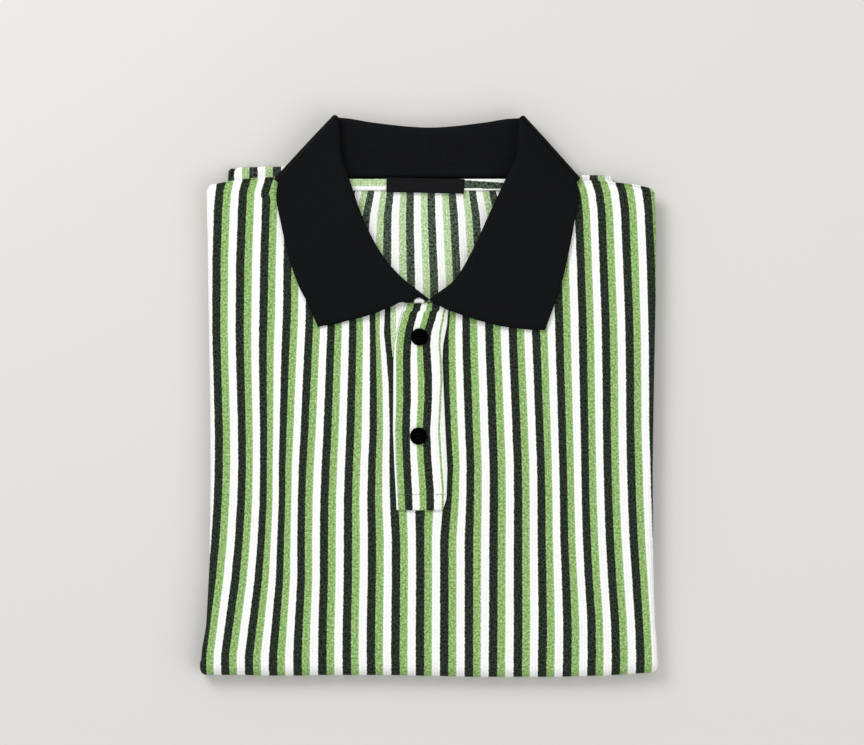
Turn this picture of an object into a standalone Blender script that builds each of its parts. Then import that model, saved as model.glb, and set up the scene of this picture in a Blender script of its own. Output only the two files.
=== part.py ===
"""A short-sleeved polo shirt in striped knit, folded for a shelf and lying face up.

The sides and sleeves are turned in behind and the lower half is folded up
behind the upper half. The neck end points to +Y, the face to +Z, and the
origin is under the middle of the folded shirt, on the surface it lies on.
Tables are in millimetres. Meshes are made in metres.
"""

import math

import bpy
import numpy as np

MM = 0.001

# Driving sizes in millimetres.
CLOTH = 1.2
COLLAR_CLOTH = 1.8
GAP = 0.3
STACK_MIDDLE = 8.0
SIDE_ROLL = 4.0
SIDE_ROLL_END = -70.0
CROWN = 1.8
BOTTOM_FOLD_Y = -174.3
NECK_END_Y = 142.3
HEM_END = {"left": 148.0, "right": 143.0}
SHOULDER_SEAM_INSET = 1.8
BACK_END_Y = -168.0
BACK_SIDE_INSET = 4.5
FILL_SIDE_INSET = 4.2
FILL_NOSE = 6.4
BUTTON_DIAMETER = 11.3
BUTTON_HEIGHT = 2.4
PLACKET_CLOTH = 2.0
TAPE_CLOTH = 1.0
LABEL_CLOTH = 0.6
LABEL_SIZE = (51.4, 9.2)
LABEL_CENTRE = (-2.3, 136.0)
LABEL_TILT = math.radians(-1.0)
TAPE_ENDS = (-54.0, 53.0)
TAPE_LINES = (133.4, 137.2, 140.8)

# Side folds of the upper half: height up the shirt, left edge, right edge.
SIDE_FOLDS = np.array([
    (-182.0, -149.2, 149.2),
    (-165.0, -147.9, 148.6),
    (-150.0, -145.2, 147.3),
    (-110.0, -143.0, 146.1),
    (-50.0, -142.3, 145.7),
    (0.0, -142.6, 146.4),
    (60.0, -143.6, 147.6),
    (100.0, -144.2, 148.1),
    (132.0, -145.0, 147.0),
])

# Side folds of the lower half, which runs narrower towards its hem.
LOWER_SIDE_FOLDS = np.array([
    (-174.3, -149.2, 149.2),
    (-150.0, -144.4, 146.4),
    (-110.0, -142.2, 143.6),
    (0.0, -139.0, 135.5),
    (148.0, -131.0, 119.6),
])

# Shoulder fold from the left side to the right: x, y.
SHOULDERS = np.array([
    (-145.0, 132.3),
    (-140.4, 137.3),
    (-130.7, 139.4),
    (-116.0, 141.2),
    (-106.0, 141.0),
    (-99.0, 139.6),
    (-79.2, 139.5),
    (79.2, 139.5),
    (98.0, 139.6),
    (106.0, 140.0),
    (119.6, 138.8),
    (132.6, 137.5),
    (142.6, 134.9),
    (147.0, 132.3),
])

# Neckline of the front, under the collar: x, y.
FRONT_NECKLINE = np.array([
    (-78.2, 134.0),
    (-76.7, 130.0),
    (-70.9, 118.5),
    (-59.0, 96.0),
    (-41.0, 74.8),
    (-20.2, 61.5),
    (-5.2, 56.8),
    (2.6, 56.8),
    (17.6, 61.5),
    (37.0, 74.8),
    (55.3, 96.0),
    (67.0, 118.5),
    (73.2, 130.0),
    (75.2, 134.0),
])

# Neckline of the back, where the collar is sewn on: x, y.
BACK_NECKLINE = np.array([
    (-78.0, 138.6),
    (-70.0, 140.0),
    (-55.0, 140.9),
    (55.0, 140.9),
    (68.0, 140.0),
    (76.0, 138.6),
])

# Columns of the flat part of the front and the back, where they cross the height COLUMNS_AT_Y.
COLUMNS = (
    -128.0, -112.0, -97.0, -86.0, -79.4, -76.0, -70.0, -59.0, -45.0, -30.0, -15.0,
    0.0, 14.0, 28.0, 42.0, 55.0, 67.0, 73.0, 76.4, 86.0, 97.0, 112.0, 130.0,
)
COLUMNS_AT_Y = 60.0
ROLL_TURNS = np.radians(np.linspace(SIDE_ROLL_END, 90.0, 7))
WRAP_TURNS = np.radians((-90.0, -55.0, -20.0, 15.0, 45.0, 72.0))
LEFT_NECK_POINT = -78.4
RIGHT_NECK_POINT = 75.4

# Left collar leaf, one section a row, from the front end up to the neck side:
# roll edge x y, neck seam x y, outer edge x y, height of the stand and of the fall at the roll.
LEFT_LEAF = np.array([
    (-2.6, 63.4, -5.9, 60.6, -72.2, 45.2, 20.8, 23.8),
    (-17.6, 77.7, -22.8, 66.8, -79.3, 60.8, 18.8, 23.6),
    (-29.9, 92.0, -41.0, 77.7, -85.2, 72.5, 18.2, 23.4),
    (-42.9, 115.4, -58.4, 99.1, -91.7, 92.6, 17.8, 23.3),
    (-50.7, 136.2, -69.6, 121.2, -94.9, 112.8, 17.6, 23.2),
    (-55.3, 156.0, -75.3, 132.6, -97.0, 128.4, 17.5, 23.0),
    (-56.9, 177.9, -76.2, 139.6, -96.0, 140.3, 17.5, 22.8),
])

RIGHT_LEAF = np.array([
    (1.6, 63.4, 4.0, 60.6, 75.4, 42.6, 20.8, 23.8),
    (15.6, 75.1, 20.2, 66.2, 81.9, 60.1, 18.8, 23.6),
    (28.6, 93.3, 38.4, 78.5, 86.5, 74.4, 18.2, 23.4),
    (40.3, 118.6, 54.6, 99.9, 91.0, 93.9, 17.8, 23.3),
    (50.1, 139.4, 65.6, 121.8, 94.3, 111.5, 17.6, 23.2),
    (54.6, 156.3, 71.6, 132.6, 96.2, 127.7, 17.5, 23.0),
    (56.5, 177.7, 73.2, 139.6, 95.0, 140.3, 17.5, 22.8),
])

# Back of the collar from left to right: the fall lies turned under the stand. Same columns.
COLLAR_BACK = np.array([
    (-56.9, 177.9, -73.5, 142.2, -96.0, 140.3, 14.5, 10.0),
    (-51.4, 178.4, -62.0, 142.4, -75.0, 134.8, 15.0, 9.8),
    (-35.0, 175.8, -44.0, 142.3, -48.0, 132.8, 16.0, 10.0),
    (0.0, 172.8, 0.0, 142.2, 0.0, 132.0, 16.8, 10.4),
    (33.2, 175.6, 42.0, 142.3, 46.0, 132.8, 16.0, 10.0),
    (50.7, 178.2, 60.0, 142.4, 73.0, 134.8, 15.0, 9.8),
    (56.5, 177.7, 70.8, 142.2, 95.0, 140.3, 14.5, 10.0),
])
COLLAR_FALL_UNDER_Z = 11.8
COLLAR_BACK_SEAM_Z = 13.9
LEAF_SEAM_RISE = 0.7
FOLD_TURNS = (30.0, 60.0, 90.0, 120.0, 150.0)
LEAF_EASE = 1.6

# Placket from the neck down: y, left edge, right edge.
PLACKET = np.array([
    (58.6, -15.3, 12.6),
    (53.0, -17.6, 12.0),
    (46.0, -19.5, 11.5),
    (33.5, -22.1, 9.1),
    (23.0, -22.8, 8.5),
    (-22.4, -23.1, 10.4),
    (-48.0, -22.1, 11.7),
    (-67.0, -21.1, 11.1),
    (-74.4, -20.8, 8.8),
])

# Edge of the under placket that shows on the left of the placket: y, width shown.
UNDER_PLACKET = np.array([
    (58.6, 10.5),
    (50.0, 7.5),
    (42.0, 5.0),
    (33.0, 2.8),
    (25.0, 1.2),
])

BUTTONS = {"button_upper": (-6.5, 38.0), "button_lower": (-6.8, -26.3)}

# Half section of a button from the middle of its face over the rim: share of radius, share of height.
BUTTON_PROFILE = (
    (0.0, 0.62), (0.60, 0.62), (0.76, 0.92), (0.87, 1.0), (0.96, 0.92), (1.0, 0.58),
    (0.94, 0.16), (0.78, 0.0), (0.0, 0.0),
)

# Hidden layers from the table up: which half, low z, high z, neck end at the left and at the right.
HIDDEN_LAYERS = (
    ("lower", 1.5, 4.8, 146.0, 141.0),
    ("lower", 4.95, 8.0, 149.2, 143.6),
    ("upper", 8.15, 9.8, 137.0, 136.0),
    ("upper", 9.95, 13.0, 126.0, 126.0),
)
CROWN_RINGS = (0.85, 0.5)
CROWN_CENTRE_Y = -22.0
LAYER_ROUNDING = ((0.0, 0.9), (0.3, 0.1), (0.7, 0.1), (1.0, 0.9))
FILL_CORNER = 4.0
UPPER_LAYERS_SHORT_OF_SHOULDER = 3.0
UPPER_LAYERS_CORNER = 1.03


def across(table, y):
    """Left and right edge of a table at the height y."""
    return np.interp(y, table[:, 0], table[:, 1]), np.interp(y, table[:, 0], table[:, 2])


def top_height(x, y):
    """Height of the front's outer face above the table."""
    middle = 0.5 * (BOTTOM_FOLD_Y + NECK_END_Y)
    along = (y - middle) / (0.5 * (NECK_END_Y - BOTTOM_FOLD_Y))
    crown = CROWN * max(0.0, 1.0 - (x / 146.0) ** 2) * max(0.0, 1.0 - along ** 2)
    return 2.0 * STACK_MIDDLE + crown


def back_face(x, y):
    """Height of the back's inner face, which looks up inside the neck."""
    return top_height(x, y) - CLOTH - GAP


def shoulder_y(x):
    return np.interp(x, SHOULDERS[:, 0], SHOULDERS[:, 1])


def front_end_y(x):
    """Upper end of the front at x: the shoulder seam, or the neckline between the neck points."""
    if LEFT_NECK_POINT < x < RIGHT_NECK_POINT:
        return np.interp(x, FRONT_NECKLINE[:, 0], FRONT_NECKLINE[:, 1])
    return shoulder_y(x) - SHOULDER_SEAM_INSET


def smooth_between(rows, steps):
    """Rows with steps - 1 more between each two, on curves that never overshoot."""
    rows = np.asarray(rows, dtype=float)
    change = np.diff(rows, axis=0)
    before, after = change[:-1], change[1:]
    total = before + after
    same_way = before * after > 0.0
    inner = np.where(same_way, 2.0 * before * after / np.where(same_way, total, 1.0), 0.0)
    slope = np.concatenate([change[:1], inner, change[-1:]])
    result = []
    for index in range(len(rows) - 1):
        for step in range(steps):
            t = step / steps
            result.append(
                (2 * t ** 3 - 3 * t ** 2 + 1) * rows[index]
                + (t ** 3 - 2 * t ** 2 + t) * slope[index]
                + (3 * t ** 2 - 2 * t ** 3) * rows[index + 1]
                + (t ** 3 - t ** 2) * slope[index + 1]
            )
    result.append(rows[-1])
    return np.array(result)


def fresh_scene():
    for old in list(bpy.data.objects):
        bpy.data.objects.remove(old, do_unlink=True)


def material(name, colour, roughness):
    made = bpy.data.materials.new(name)
    made.use_nodes = True
    shader = made.node_tree.nodes["Principled BSDF"]
    shader.inputs["Base Color"].default_value = (*colour, 1.0)
    shader.inputs["Roughness"].default_value = roughness
    shader.inputs["Metallic"].default_value = 0.0
    return made


def mesh_object(name, points, faces, finish, collection):
    """A mesh from points in millimetres, in the shirt's collection."""
    mesh = bpy.data.meshes.new(name)
    mesh.from_pydata([tuple(float(value) * MM for value in point) for point in points], [], faces)
    mesh.validate()
    mesh.shade_smooth()
    made = bpy.data.objects.new(name, mesh)
    made.data.materials.append(finish)
    collection.objects.link(made)
    return made


def grid_faces(row_count, column_count):
    faces = []
    for row in range(row_count - 1):
        for column in range(column_count - 1):
            corner = row * column_count + column
            faces.append((corner, corner + column_count, corner + column_count + 1, corner + 1))
    return faces


def sheet(name, rows, thickness, offset, finish, collection):
    """A cloth piece: an open grid of rows given its thickness by Solidify."""
    points = [point for row in rows for point in row]
    made = mesh_object(name, points, grid_faces(len(rows), len(rows[0])), finish, collection)
    wall = made.modifiers.new("cloth", "SOLIDIFY")
    wall.thickness = thickness * MM
    wall.offset = offset
    return made


def front_columns(left, right):
    """Section across the front: x and distance from the stack's middle, left roll to right roll."""
    section = []
    for turn in ROLL_TURNS:
        section.append((left + SIDE_ROLL - SIDE_ROLL * math.cos(turn),
                        SIDE_ROLL + SIDE_ROLL * math.sin(turn)))
    reference = across(SIDE_FOLDS, COLUMNS_AT_Y)
    for x in COLUMNS:
        share = (x - reference[0]) / (reference[1] - reference[0])
        section.append((left + share * (right - left), 2.0 * SIDE_ROLL))
    for turn in ROLL_TURNS[::-1]:
        section.append((right - SIDE_ROLL + SIDE_ROLL * math.cos(turn),
                        SIDE_ROLL + SIDE_ROLL * math.sin(turn)))
    return section


def front_ends():
    """Upper end of each of the front's columns. Under a side roll it is that of the side fold."""
    left, right = across(SIDE_FOLDS, COLUMNS_AT_Y)
    reach = [SIDE_ROLL - SIDE_ROLL * math.cos(max(turn, 0.0)) for turn in ROLL_TURNS]
    ends = [front_end_y(left + inset) for inset in reach]
    ends += [front_end_y(x) for x in COLUMNS]
    ends += [front_end_y(right - inset) for inset in reach[::-1]]
    return ends


def make_front(finish, collection):
    """The front: down from shoulders and neckline, round the bottom fold, back to the hem below."""
    top_rows, fold_rows, lower_rows = 13, 9, 6
    rows = []
    for row in range(top_rows):
        share = row / top_rows
        points = []
        for column, end in enumerate(front_ends()):
            y = end + share * (BOTTOM_FOLD_Y - end)
            x, distance = front_columns(*across(SIDE_FOLDS, y))[column]
            rise = (top_height(x, y) - 2.0 * STACK_MIDDLE) * distance / (2.0 * SIDE_ROLL)
            points.append((x, y, STACK_MIDDLE + distance + rise))
        rows.append(points)
    section = front_columns(*across(SIDE_FOLDS, -182.0))
    for row in range(fold_rows + 1):
        turn = math.pi * row / fold_rows
        rows.append([
            (x, BOTTOM_FOLD_Y - distance * math.sin(turn), STACK_MIDDLE + distance * math.cos(turn))
            for x, distance in section
        ])
    for row in range(1, lower_rows + 1):
        share = row / lower_rows
        points = []
        for column in range(len(section)):
            across_share = column / (len(section) - 1)
            hem = HEM_END["left"] + across_share * (HEM_END["right"] - HEM_END["left"])
            y = BOTTOM_FOLD_Y + share * (hem - BOTTOM_FOLD_Y)
            x, distance = front_columns(*across(LOWER_SIDE_FOLDS, y))[column]
            points.append((x, y, STACK_MIDDLE - distance))
        rows.append(points)
    return sheet("front", rows, CLOTH, -1.0, finish, collection)


def make_back(finish, collection):
    """The back under the front: its inside shows in the neck, and it wraps over the shoulders."""
    wrap = 0.5 * (2.0 * CLOTH + GAP)
    wrap_middle = wrap - 0.5 * CLOTH
    flat_rows = 9
    left, right = across(SIDE_FOLDS, COLUMNS_AT_Y)
    columns = [left + BACK_SIDE_INSET, *COLUMNS, right - BACK_SIDE_INSET]
    rows = []
    for row in range(flat_rows + len(WRAP_TURNS)):
        points = []
        for index, x in enumerate(columns):
            neck = LEFT_NECK_POINT < x < RIGHT_NECK_POINT
            end = np.interp(x, BACK_NECKLINE[:, 0], BACK_NECKLINE[:, 1]) if neck else shoulder_y(x)
            centre = end - wrap
            if row < flat_rows:
                y = BACK_END_Y + (centre - BACK_END_Y) * row / flat_rows
                if index == 0:
                    x = across(SIDE_FOLDS, y)[0] + BACK_SIDE_INSET
                elif index == len(columns) - 1:
                    x = across(SIDE_FOLDS, y)[1] - BACK_SIDE_INSET
                points.append((x, y, back_face(x, y) - 0.5 * CLOTH))
            elif neck:
                share = (row - flat_rows) / (len(WRAP_TURNS) - 1)
                points.append((x, centre + share * wrap, back_face(x, end) - 0.5 * CLOTH))
            else:
                turn = WRAP_TURNS[row - flat_rows]
                points.append((x, centre + wrap_middle * math.cos(turn),
                               top_height(x, end) - wrap + wrap_middle * math.sin(turn)))
        rows.append(points)
    return sheet("back", rows, CLOTH, 0.0, finish, collection)


def fill_outline(kind, z, inset, end_left, end_right):
    """Plan outline of the hidden layers at height z, counter-clockwise from the bottom left."""
    depth = math.sqrt(max(0.0, FILL_NOSE ** 2 - (z - STACK_MIDDLE) ** 2))
    bottom = BOTTOM_FOLD_Y - depth + inset
    table = LOWER_SIDE_FOLDS if kind == "lower" else SIDE_FOLDS
    edge = FILL_SIDE_INSET + inset

    def side_x(y, which):
        value = across(table, y)[which]
        return value + edge if which == 0 else value - edge

    def end_y(x):
        slanted = np.interp(x, LOWER_SIDE_FOLDS[-1, 1:], (end_left, end_right))
        if kind == "lower":
            return slanted
        return min(slanted, shoulder_y(x * UPPER_LAYERS_CORNER) - UPPER_LAYERS_SHORT_OF_SHOULDER)

    outline = []
    corner = FILL_CORNER
    low = bottom + corner
    left_end = end_y(side_x(end_left, 0))
    right_end = end_y(side_x(end_right, 1))
    for share in (0.05, 0.2, 0.35, 0.5, 0.65, 0.8, 0.95):
        x = side_x(low, 0) + share * (side_x(low, 1) - side_x(low, 0))
        outline.append((x, bottom))
    right_stops = np.linspace(low, right_end - inset - corner, 7)
    outline += [(side_x(y, 1), y) for y in right_stops]
    high_left = side_x(left_end - corner, 0) + corner
    high_right = side_x(right_end - corner, 1) - corner
    for share in np.linspace(0.0, 1.0, 10):
        x = high_right + share * (high_left - high_right)
        outline.append((x, end_y(x) - inset))
    left_stops = np.linspace(left_end - inset - corner, low, 7)
    outline += [(side_x(y, 0), y) for y in left_stops]
    return outline


def make_folded_layers(finish, collection):
    """Sleeves, turned-in sides and the lower back as one rounded solid, layered at its edges."""
    rings = []
    for kind, low, high, end_left, end_right in HIDDEN_LAYERS:
        for share, inset in LAYER_ROUNDING:
            z = low + share * (high - low)
            outline = fill_outline(kind, z, inset, end_left, end_right)
            rings.append([(x, y, z) for x, y in outline])
    rim = rings[-1]
    for shrink in CROWN_RINGS:
        ring = []
        for rim_x, rim_y, _ in rim:
            x = rim_x * shrink
            y = CROWN_CENTRE_Y + (rim_y - CROWN_CENTRE_Y) * shrink
            ring.append((x, y, back_face(x, y) - CLOTH - GAP))
        rings.append(ring)
    count = len(rings[0])
    points = [point for ring in rings for point in ring]
    faces = []
    for level in range(len(rings) - 1):
        for index in range(count):
            following = (index + 1) % count
            faces.append((level * count + index, level * count + following,
                          (level + 1) * count + following, (level + 1) * count + index))
    faces.append(tuple(range(count - 1, -1, -1)))
    top_start = (len(rings) - 1) * count
    faces.append(tuple(range(top_start, top_start + count)))
    return mesh_object("folded_layers", points, faces, finish, collection)


def collar_section(row, on_top):
    """Points across the collar from the neck seam over the roll to the outer edge."""
    roll = row[0:2]
    neck = row[2:4]
    edge = row[4:6]
    stand_z, fall_z = row[6], row[7]
    inward = 0.5 * (neck + edge) - roll
    inward /= np.linalg.norm(inward)
    bend = 0.5 * abs(fall_z - stand_z)
    centre = roll + bend * inward
    if on_top:
        neck_z = top_height(*neck) - 0.5 * COLLAR_CLOTH + LEAF_SEAM_RISE
        edge_z = top_height(*edge) + GAP + 0.5 * COLLAR_CLOTH + 0.2
        ease = LEAF_EASE
    else:
        neck_z = COLLAR_BACK_SEAM_Z
        edge_z = COLLAR_FALL_UNDER_Z
        ease = 1.0
    points = []
    stand_steps, bend_steps, fall_steps = 4, 6, 6
    for step in range(stand_steps):
        t = step / stand_steps
        spot = neck + t * (centre - neck)
        points.append((*spot, neck_z + t * (stand_z - neck_z)))
    for step in range(bend_steps + 1):
        turn = math.pi * step / bend_steps
        spot = centre - bend * math.sin(turn) * inward
        points.append((*spot, 0.5 * (stand_z + fall_z) - 0.5 * (fall_z - stand_z) * math.cos(turn)))
    for step in range(1, fall_steps + 1):
        t = step / fall_steps
        spot = centre + t * (edge - centre)
        points.append((*spot, edge_z + (fall_z - edge_z) * (1.0 - t) ** ease))
    return np.array(points)


def collar_turn(leaf_end, back_end, side):
    """Sections that carry the collar round the neck side, from the leaf to the back."""
    along = leaf_end[-1][:2] - leaf_end[7][:2]
    along /= np.linalg.norm(along)
    outward = np.array((along[1], -along[0])) if side == "left" else np.array((-along[1], along[0]))
    half = 0.5 * (leaf_end - back_end)
    middle = 0.5 * (leaf_end + back_end)
    reach = np.abs(half[:, 2:3])
    sections = []
    for turn in np.radians(FOLD_TURNS):
        section = middle + half * math.cos(turn)
        section[:, :2] += math.sin(turn) * reach * outward
        sections.append(section)
    return sections


def make_collar(finish, collection):
    """The one-piece knitted collar: two leaves on top, the stand and its turned-under fall behind."""
    left = smooth_between([collar_section(row, True) for row in LEFT_LEAF], 2)
    right = smooth_between([collar_section(row, True) for row in RIGHT_LEAF], 2)
    behind = smooth_between([collar_section(row, False) for row in COLLAR_BACK], 2)
    sections = list(left)
    sections += collar_turn(left[-1], behind[0], "left")
    sections += list(behind)
    sections += collar_turn(right[-1], behind[-1], "right")[::-1]
    sections += list(right)[::-1]
    return sheet("collar", sections, COLLAR_CLOTH, 0.0, finish, collection)


def make_placket(finish, collection):
    """The outer placket strip, sewn on the front from the neck down."""
    rows = []
    for y, left, right in PLACKET:
        rows.append([
            (left + share * (right - left), y,
             top_height(left + share * (right - left), y) + GAP + 0.5 * PLACKET_CLOTH)
            for share in np.linspace(0.0, 1.0, 5)
        ])
    return sheet("placket", rows, PLACKET_CLOTH, 0.0, finish, collection)


def make_under_placket(finish, collection):
    """The strip of the under placket that shows beside the outer one, near the neck."""
    rows = []
    for y, width in UNDER_PLACKET:
        right = np.interp(-y, -PLACKET[:, 0], PLACKET[:, 1]) - GAP
        rows.append([
            (right - share * width, y,
             top_height(right - share * width, y) + GAP + 0.5 * CLOTH)
            for share in (1.0, 0.5, 0.0)
        ])
    return sheet("under_placket", rows, CLOTH, 0.0, finish, collection)


def make_neck_tape(finish, collection):
    """The tape over the back neck seam, inside the neck."""
    rows = []
    for y in TAPE_LINES:
        rows.append([(x, y, back_face(x, y) + GAP + 0.5 * TAPE_CLOTH)
                     for x in np.linspace(*TAPE_ENDS, 13)])
    return sheet("neck_tape", rows, TAPE_CLOTH, 0.0, finish, collection)


def make_label(finish, collection):
    """The bare woven label on the neck tape."""
    rows = []
    width, height = LABEL_SIZE
    for v in np.linspace(-0.5, 0.5, 3) * height:
        row = []
        for u in np.linspace(-0.5, 0.5, 7) * width:
            x = LABEL_CENTRE[0] + u * math.cos(LABEL_TILT) - v * math.sin(LABEL_TILT)
            y = LABEL_CENTRE[1] + u * math.sin(LABEL_TILT) + v * math.cos(LABEL_TILT)
            row.append((x, y, back_face(x, y) + 2.0 * GAP + TAPE_CLOTH + 0.5 * LABEL_CLOTH))
        rows.append(row)
    return sheet("label", rows, LABEL_CLOTH, 0.0, finish, collection)


def make_button(name, place, finish, collection):
    """A turned button with a rounded rim and a dished face."""
    x, y = place
    radius = 0.5 * BUTTON_DIAMETER
    mesh = bpy.data.meshes.new(name)
    mesh.from_pydata([(out * radius * MM, 0.0, up * BUTTON_HEIGHT * MM) for out, up in BUTTON_PROFILE],
                     [(index, index + 1) for index in range(len(BUTTON_PROFILE) - 1)], [])
    made = bpy.data.objects.new(name, mesh)
    made.data.materials.append(finish)
    base = top_height(x, y) + 2.0 * GAP + PLACKET_CLOTH
    made.location = (x * MM, y * MM, base * MM)
    turned = made.modifiers.new("turned", "SCREW")
    turned.steps = 20
    turned.render_steps = 20
    turned.use_merge_vertices = True
    turned.merge_threshold = 0.0001
    collection.objects.link(made)
    return made


def main():
    fresh_scene()
    collection = bpy.data.collections.new("folded_polo_shirt")
    bpy.context.scene.collection.children.link(collection)
    striped = material("striped_knit", (0.30, 0.47, 0.22), 0.85)
    inside = material("striped_knit_inside", (0.45, 0.58, 0.38), 0.88)
    black_knit = material("black_rib_knit", (0.012, 0.012, 0.014), 0.85)
    woven = material("woven_label", (0.010, 0.010, 0.012), 0.6)
    button_black = material("button_black", (0.008, 0.008, 0.009), 0.35)
    pieces = [
        make_front(striped, collection),
        make_back(inside, collection),
        make_folded_layers(striped, collection),
        make_collar(black_knit, collection),
        make_placket(striped, collection),
        make_under_placket(inside, collection),
        make_neck_tape(inside, collection),
        make_label(woven, collection),
    ]
    for name, place in BUTTONS.items():
        pieces.append(make_button(name, place, button_black, collection))
    shirt = bpy.data.objects.new("shirt", None)
    collection.objects.link(shirt)
    for piece in pieces:
        piece.parent = shirt


main()
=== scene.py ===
# %% [markdown]
# # A folded polo shirt
# The real thing is a striped, knitted shirt with a black collar, folded for a shelf and lying face
# up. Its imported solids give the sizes, and they are plain. They could be left showing under a cloth
# finish, but a solid has no thin edges and no soft creases. So each cloth piece that shows is made
# again as a thin sheet on the form of its solid, and stands in for it.
# Tables are in millimetres and meshes in metres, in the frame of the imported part.

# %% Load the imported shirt
import math

import bpy
import numpy as np
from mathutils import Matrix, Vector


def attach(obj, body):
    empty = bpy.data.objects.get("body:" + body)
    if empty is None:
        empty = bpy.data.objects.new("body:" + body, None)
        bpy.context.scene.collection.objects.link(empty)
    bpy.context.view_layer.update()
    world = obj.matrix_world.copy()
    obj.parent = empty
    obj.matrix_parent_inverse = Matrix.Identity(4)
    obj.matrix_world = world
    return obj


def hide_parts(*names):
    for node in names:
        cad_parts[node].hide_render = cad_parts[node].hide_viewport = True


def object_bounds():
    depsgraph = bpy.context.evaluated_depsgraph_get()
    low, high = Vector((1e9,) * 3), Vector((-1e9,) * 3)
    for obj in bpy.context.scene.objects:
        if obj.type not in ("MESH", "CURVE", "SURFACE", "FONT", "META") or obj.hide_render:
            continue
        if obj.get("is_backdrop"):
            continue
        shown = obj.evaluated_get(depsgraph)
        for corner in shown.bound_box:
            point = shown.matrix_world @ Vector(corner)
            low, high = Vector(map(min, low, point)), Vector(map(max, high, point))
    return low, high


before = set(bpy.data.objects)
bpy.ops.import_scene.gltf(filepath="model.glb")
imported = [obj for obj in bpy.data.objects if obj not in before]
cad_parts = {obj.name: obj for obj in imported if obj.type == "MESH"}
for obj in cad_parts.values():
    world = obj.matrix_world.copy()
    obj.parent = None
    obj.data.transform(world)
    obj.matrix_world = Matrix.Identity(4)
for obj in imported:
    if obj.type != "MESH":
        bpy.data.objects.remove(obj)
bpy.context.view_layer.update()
MM = 0.001
print("nodes:", ", ".join(sorted(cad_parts)))

# %% [markdown]
# ## The camera
# The shirt is seen from straight above. A camera close to the table would show the collar too
# large, because what is nearer looks bigger, so this one has a long lens and hangs well over two
# metres up. It is made first, because every later piece is judged through it.

# %% Camera
FACE_Z = 17.0
CAMERA_RISE = 2400.0
SEEN_WIDTH = 561.6
CAMERA_X = 1.95
CAMERA_Y = 14.95

camera_data = bpy.data.cameras.new("camera")
camera_data.sensor_fit = "HORIZONTAL"
camera_data.sensor_width = 36.0
camera_data.lens = camera_data.sensor_width * CAMERA_RISE / SEEN_WIDTH
camera_data.clip_start = 0.05
camera_data.clip_end = 20.0
camera = bpy.data.objects.new("camera", camera_data)
camera.location = (CAMERA_X * MM, CAMERA_Y * MM, (FACE_Z + CAMERA_RISE) * MM)
bpy.context.scene.collection.objects.link(camera)
bpy.context.scene.camera = camera
print("lens:", round(camera_data.lens, 1), "mm")

# %% [markdown]
# ## The floor and the light
# The shirt lies on a plain pale floor in a bright studio. One lamp would be enough to see by, but
# its shadows would be hard. Two large area lights and a bright sky give soft shadows, and the
# stronger light stands to one side, so the folds and the collar still show their form.

# %% Floor
FLOOR_HALF = 3.0
FLOOR_COLOUR = (0.60, 0.585, 0.56)
FLOOR_ROUGHNESS = 0.6


def plain_material(name, colour, roughness):
    made = bpy.data.materials.new(name)
    made.use_nodes = True
    shader = made.node_tree.nodes["Principled BSDF"]
    shader.inputs["Base Color"].default_value = (*colour, 1.0)
    shader.inputs["Roughness"].default_value = roughness
    return made


floor_mesh = bpy.data.meshes.new("floor")
floor_mesh.from_pydata(
    [(-FLOOR_HALF, -FLOOR_HALF, 0.0), (FLOOR_HALF, -FLOOR_HALF, 0.0),
     (FLOOR_HALF, FLOOR_HALF, 0.0), (-FLOOR_HALF, FLOOR_HALF, 0.0)],
    [], [(0, 1, 2, 3)])
floor_mesh.materials.append(plain_material("plain_floor", FLOOR_COLOUR, FLOOR_ROUGHNESS))
floor = bpy.data.objects.new("floor", floor_mesh)
bpy.context.scene.collection.objects.link(floor)
floor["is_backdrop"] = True
print("floor:", 2.0 * FLOOR_HALF, "metres wide")

# %% Lights and sky
KEY_PLACE, KEY_SIZE, KEY_POWER = (-0.9, 1.1, 1.5), 1.0, 25.5
FILL_PLACE, FILL_SIZE, FILL_POWER = (1.2, -0.6, 1.6), 1.6, 11.5
SKY_STRENGTH = 0.69


def area_light(name, place, size, power):
    """A square light, aimed at the middle of the shirt."""
    data = bpy.data.lights.new(name, "AREA")
    data.shape = "SQUARE"
    data.size = size
    data.energy = power
    lamp = bpy.data.objects.new(name, data)
    lamp.location = place
    way = -np.array(place)
    flat = math.hypot(way[0], way[1])
    lamp.rotation_euler = (math.atan2(flat, -way[2]), 0.0, math.atan2(-way[0], way[1]))
    bpy.context.scene.collection.objects.link(lamp)


area_light("key", KEY_PLACE, KEY_SIZE, KEY_POWER)
area_light("fill", FILL_PLACE, FILL_SIZE, FILL_POWER)
sky = bpy.data.worlds.new("sky")
sky.use_nodes = True
glow = sky.node_tree.nodes["Background"]
glow.inputs["Color"].default_value = (1.0, 1.0, 1.0, 1.0)
glow.inputs["Strength"].default_value = SKY_STRENGTH
bpy.context.scene.world = sky
bpy.context.scene.view_settings.view_transform = "Standard"
bpy.context.scene.view_settings.look = "None"
print("lights:", ", ".join(sorted(light.name for light in bpy.data.lights)), "and the sky")

# %% [markdown]
# ## How high the stack is
# The folded shirt is a stack: the front's upper half on top, the back under it, the sleeves and
# sides turned in between, and the lower half folded up behind. It is highest in the middle. The
# height could be probed on the solids with rays, but a formula is shorter and smooth, and the
# solids were made from the same one, so every sheet lies where its solid is.

# %% Height of the top face
CLOTH = 1.2
GAP = 0.3
STACK_MIDDLE = 8.0
CROWN = 1.8
CROWN_HALF_WIDTH = 146.0
BOTTOM_FOLD_Y = -174.3
NECK_END_Y = 142.3


def top_height(x, y):
    """Height of the front's outer face, as the solids have it."""
    middle = 0.5 * (BOTTOM_FOLD_Y + NECK_END_Y)
    along = (y - middle) / (0.5 * (NECK_END_Y - BOTTOM_FOLD_Y))
    crown = CROWN * max(0.0, 1.0 - (x / CROWN_HALF_WIDTH) ** 2) * max(0.0, 1.0 - along ** 2)
    return 2.0 * STACK_MIDDLE + crown


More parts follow.
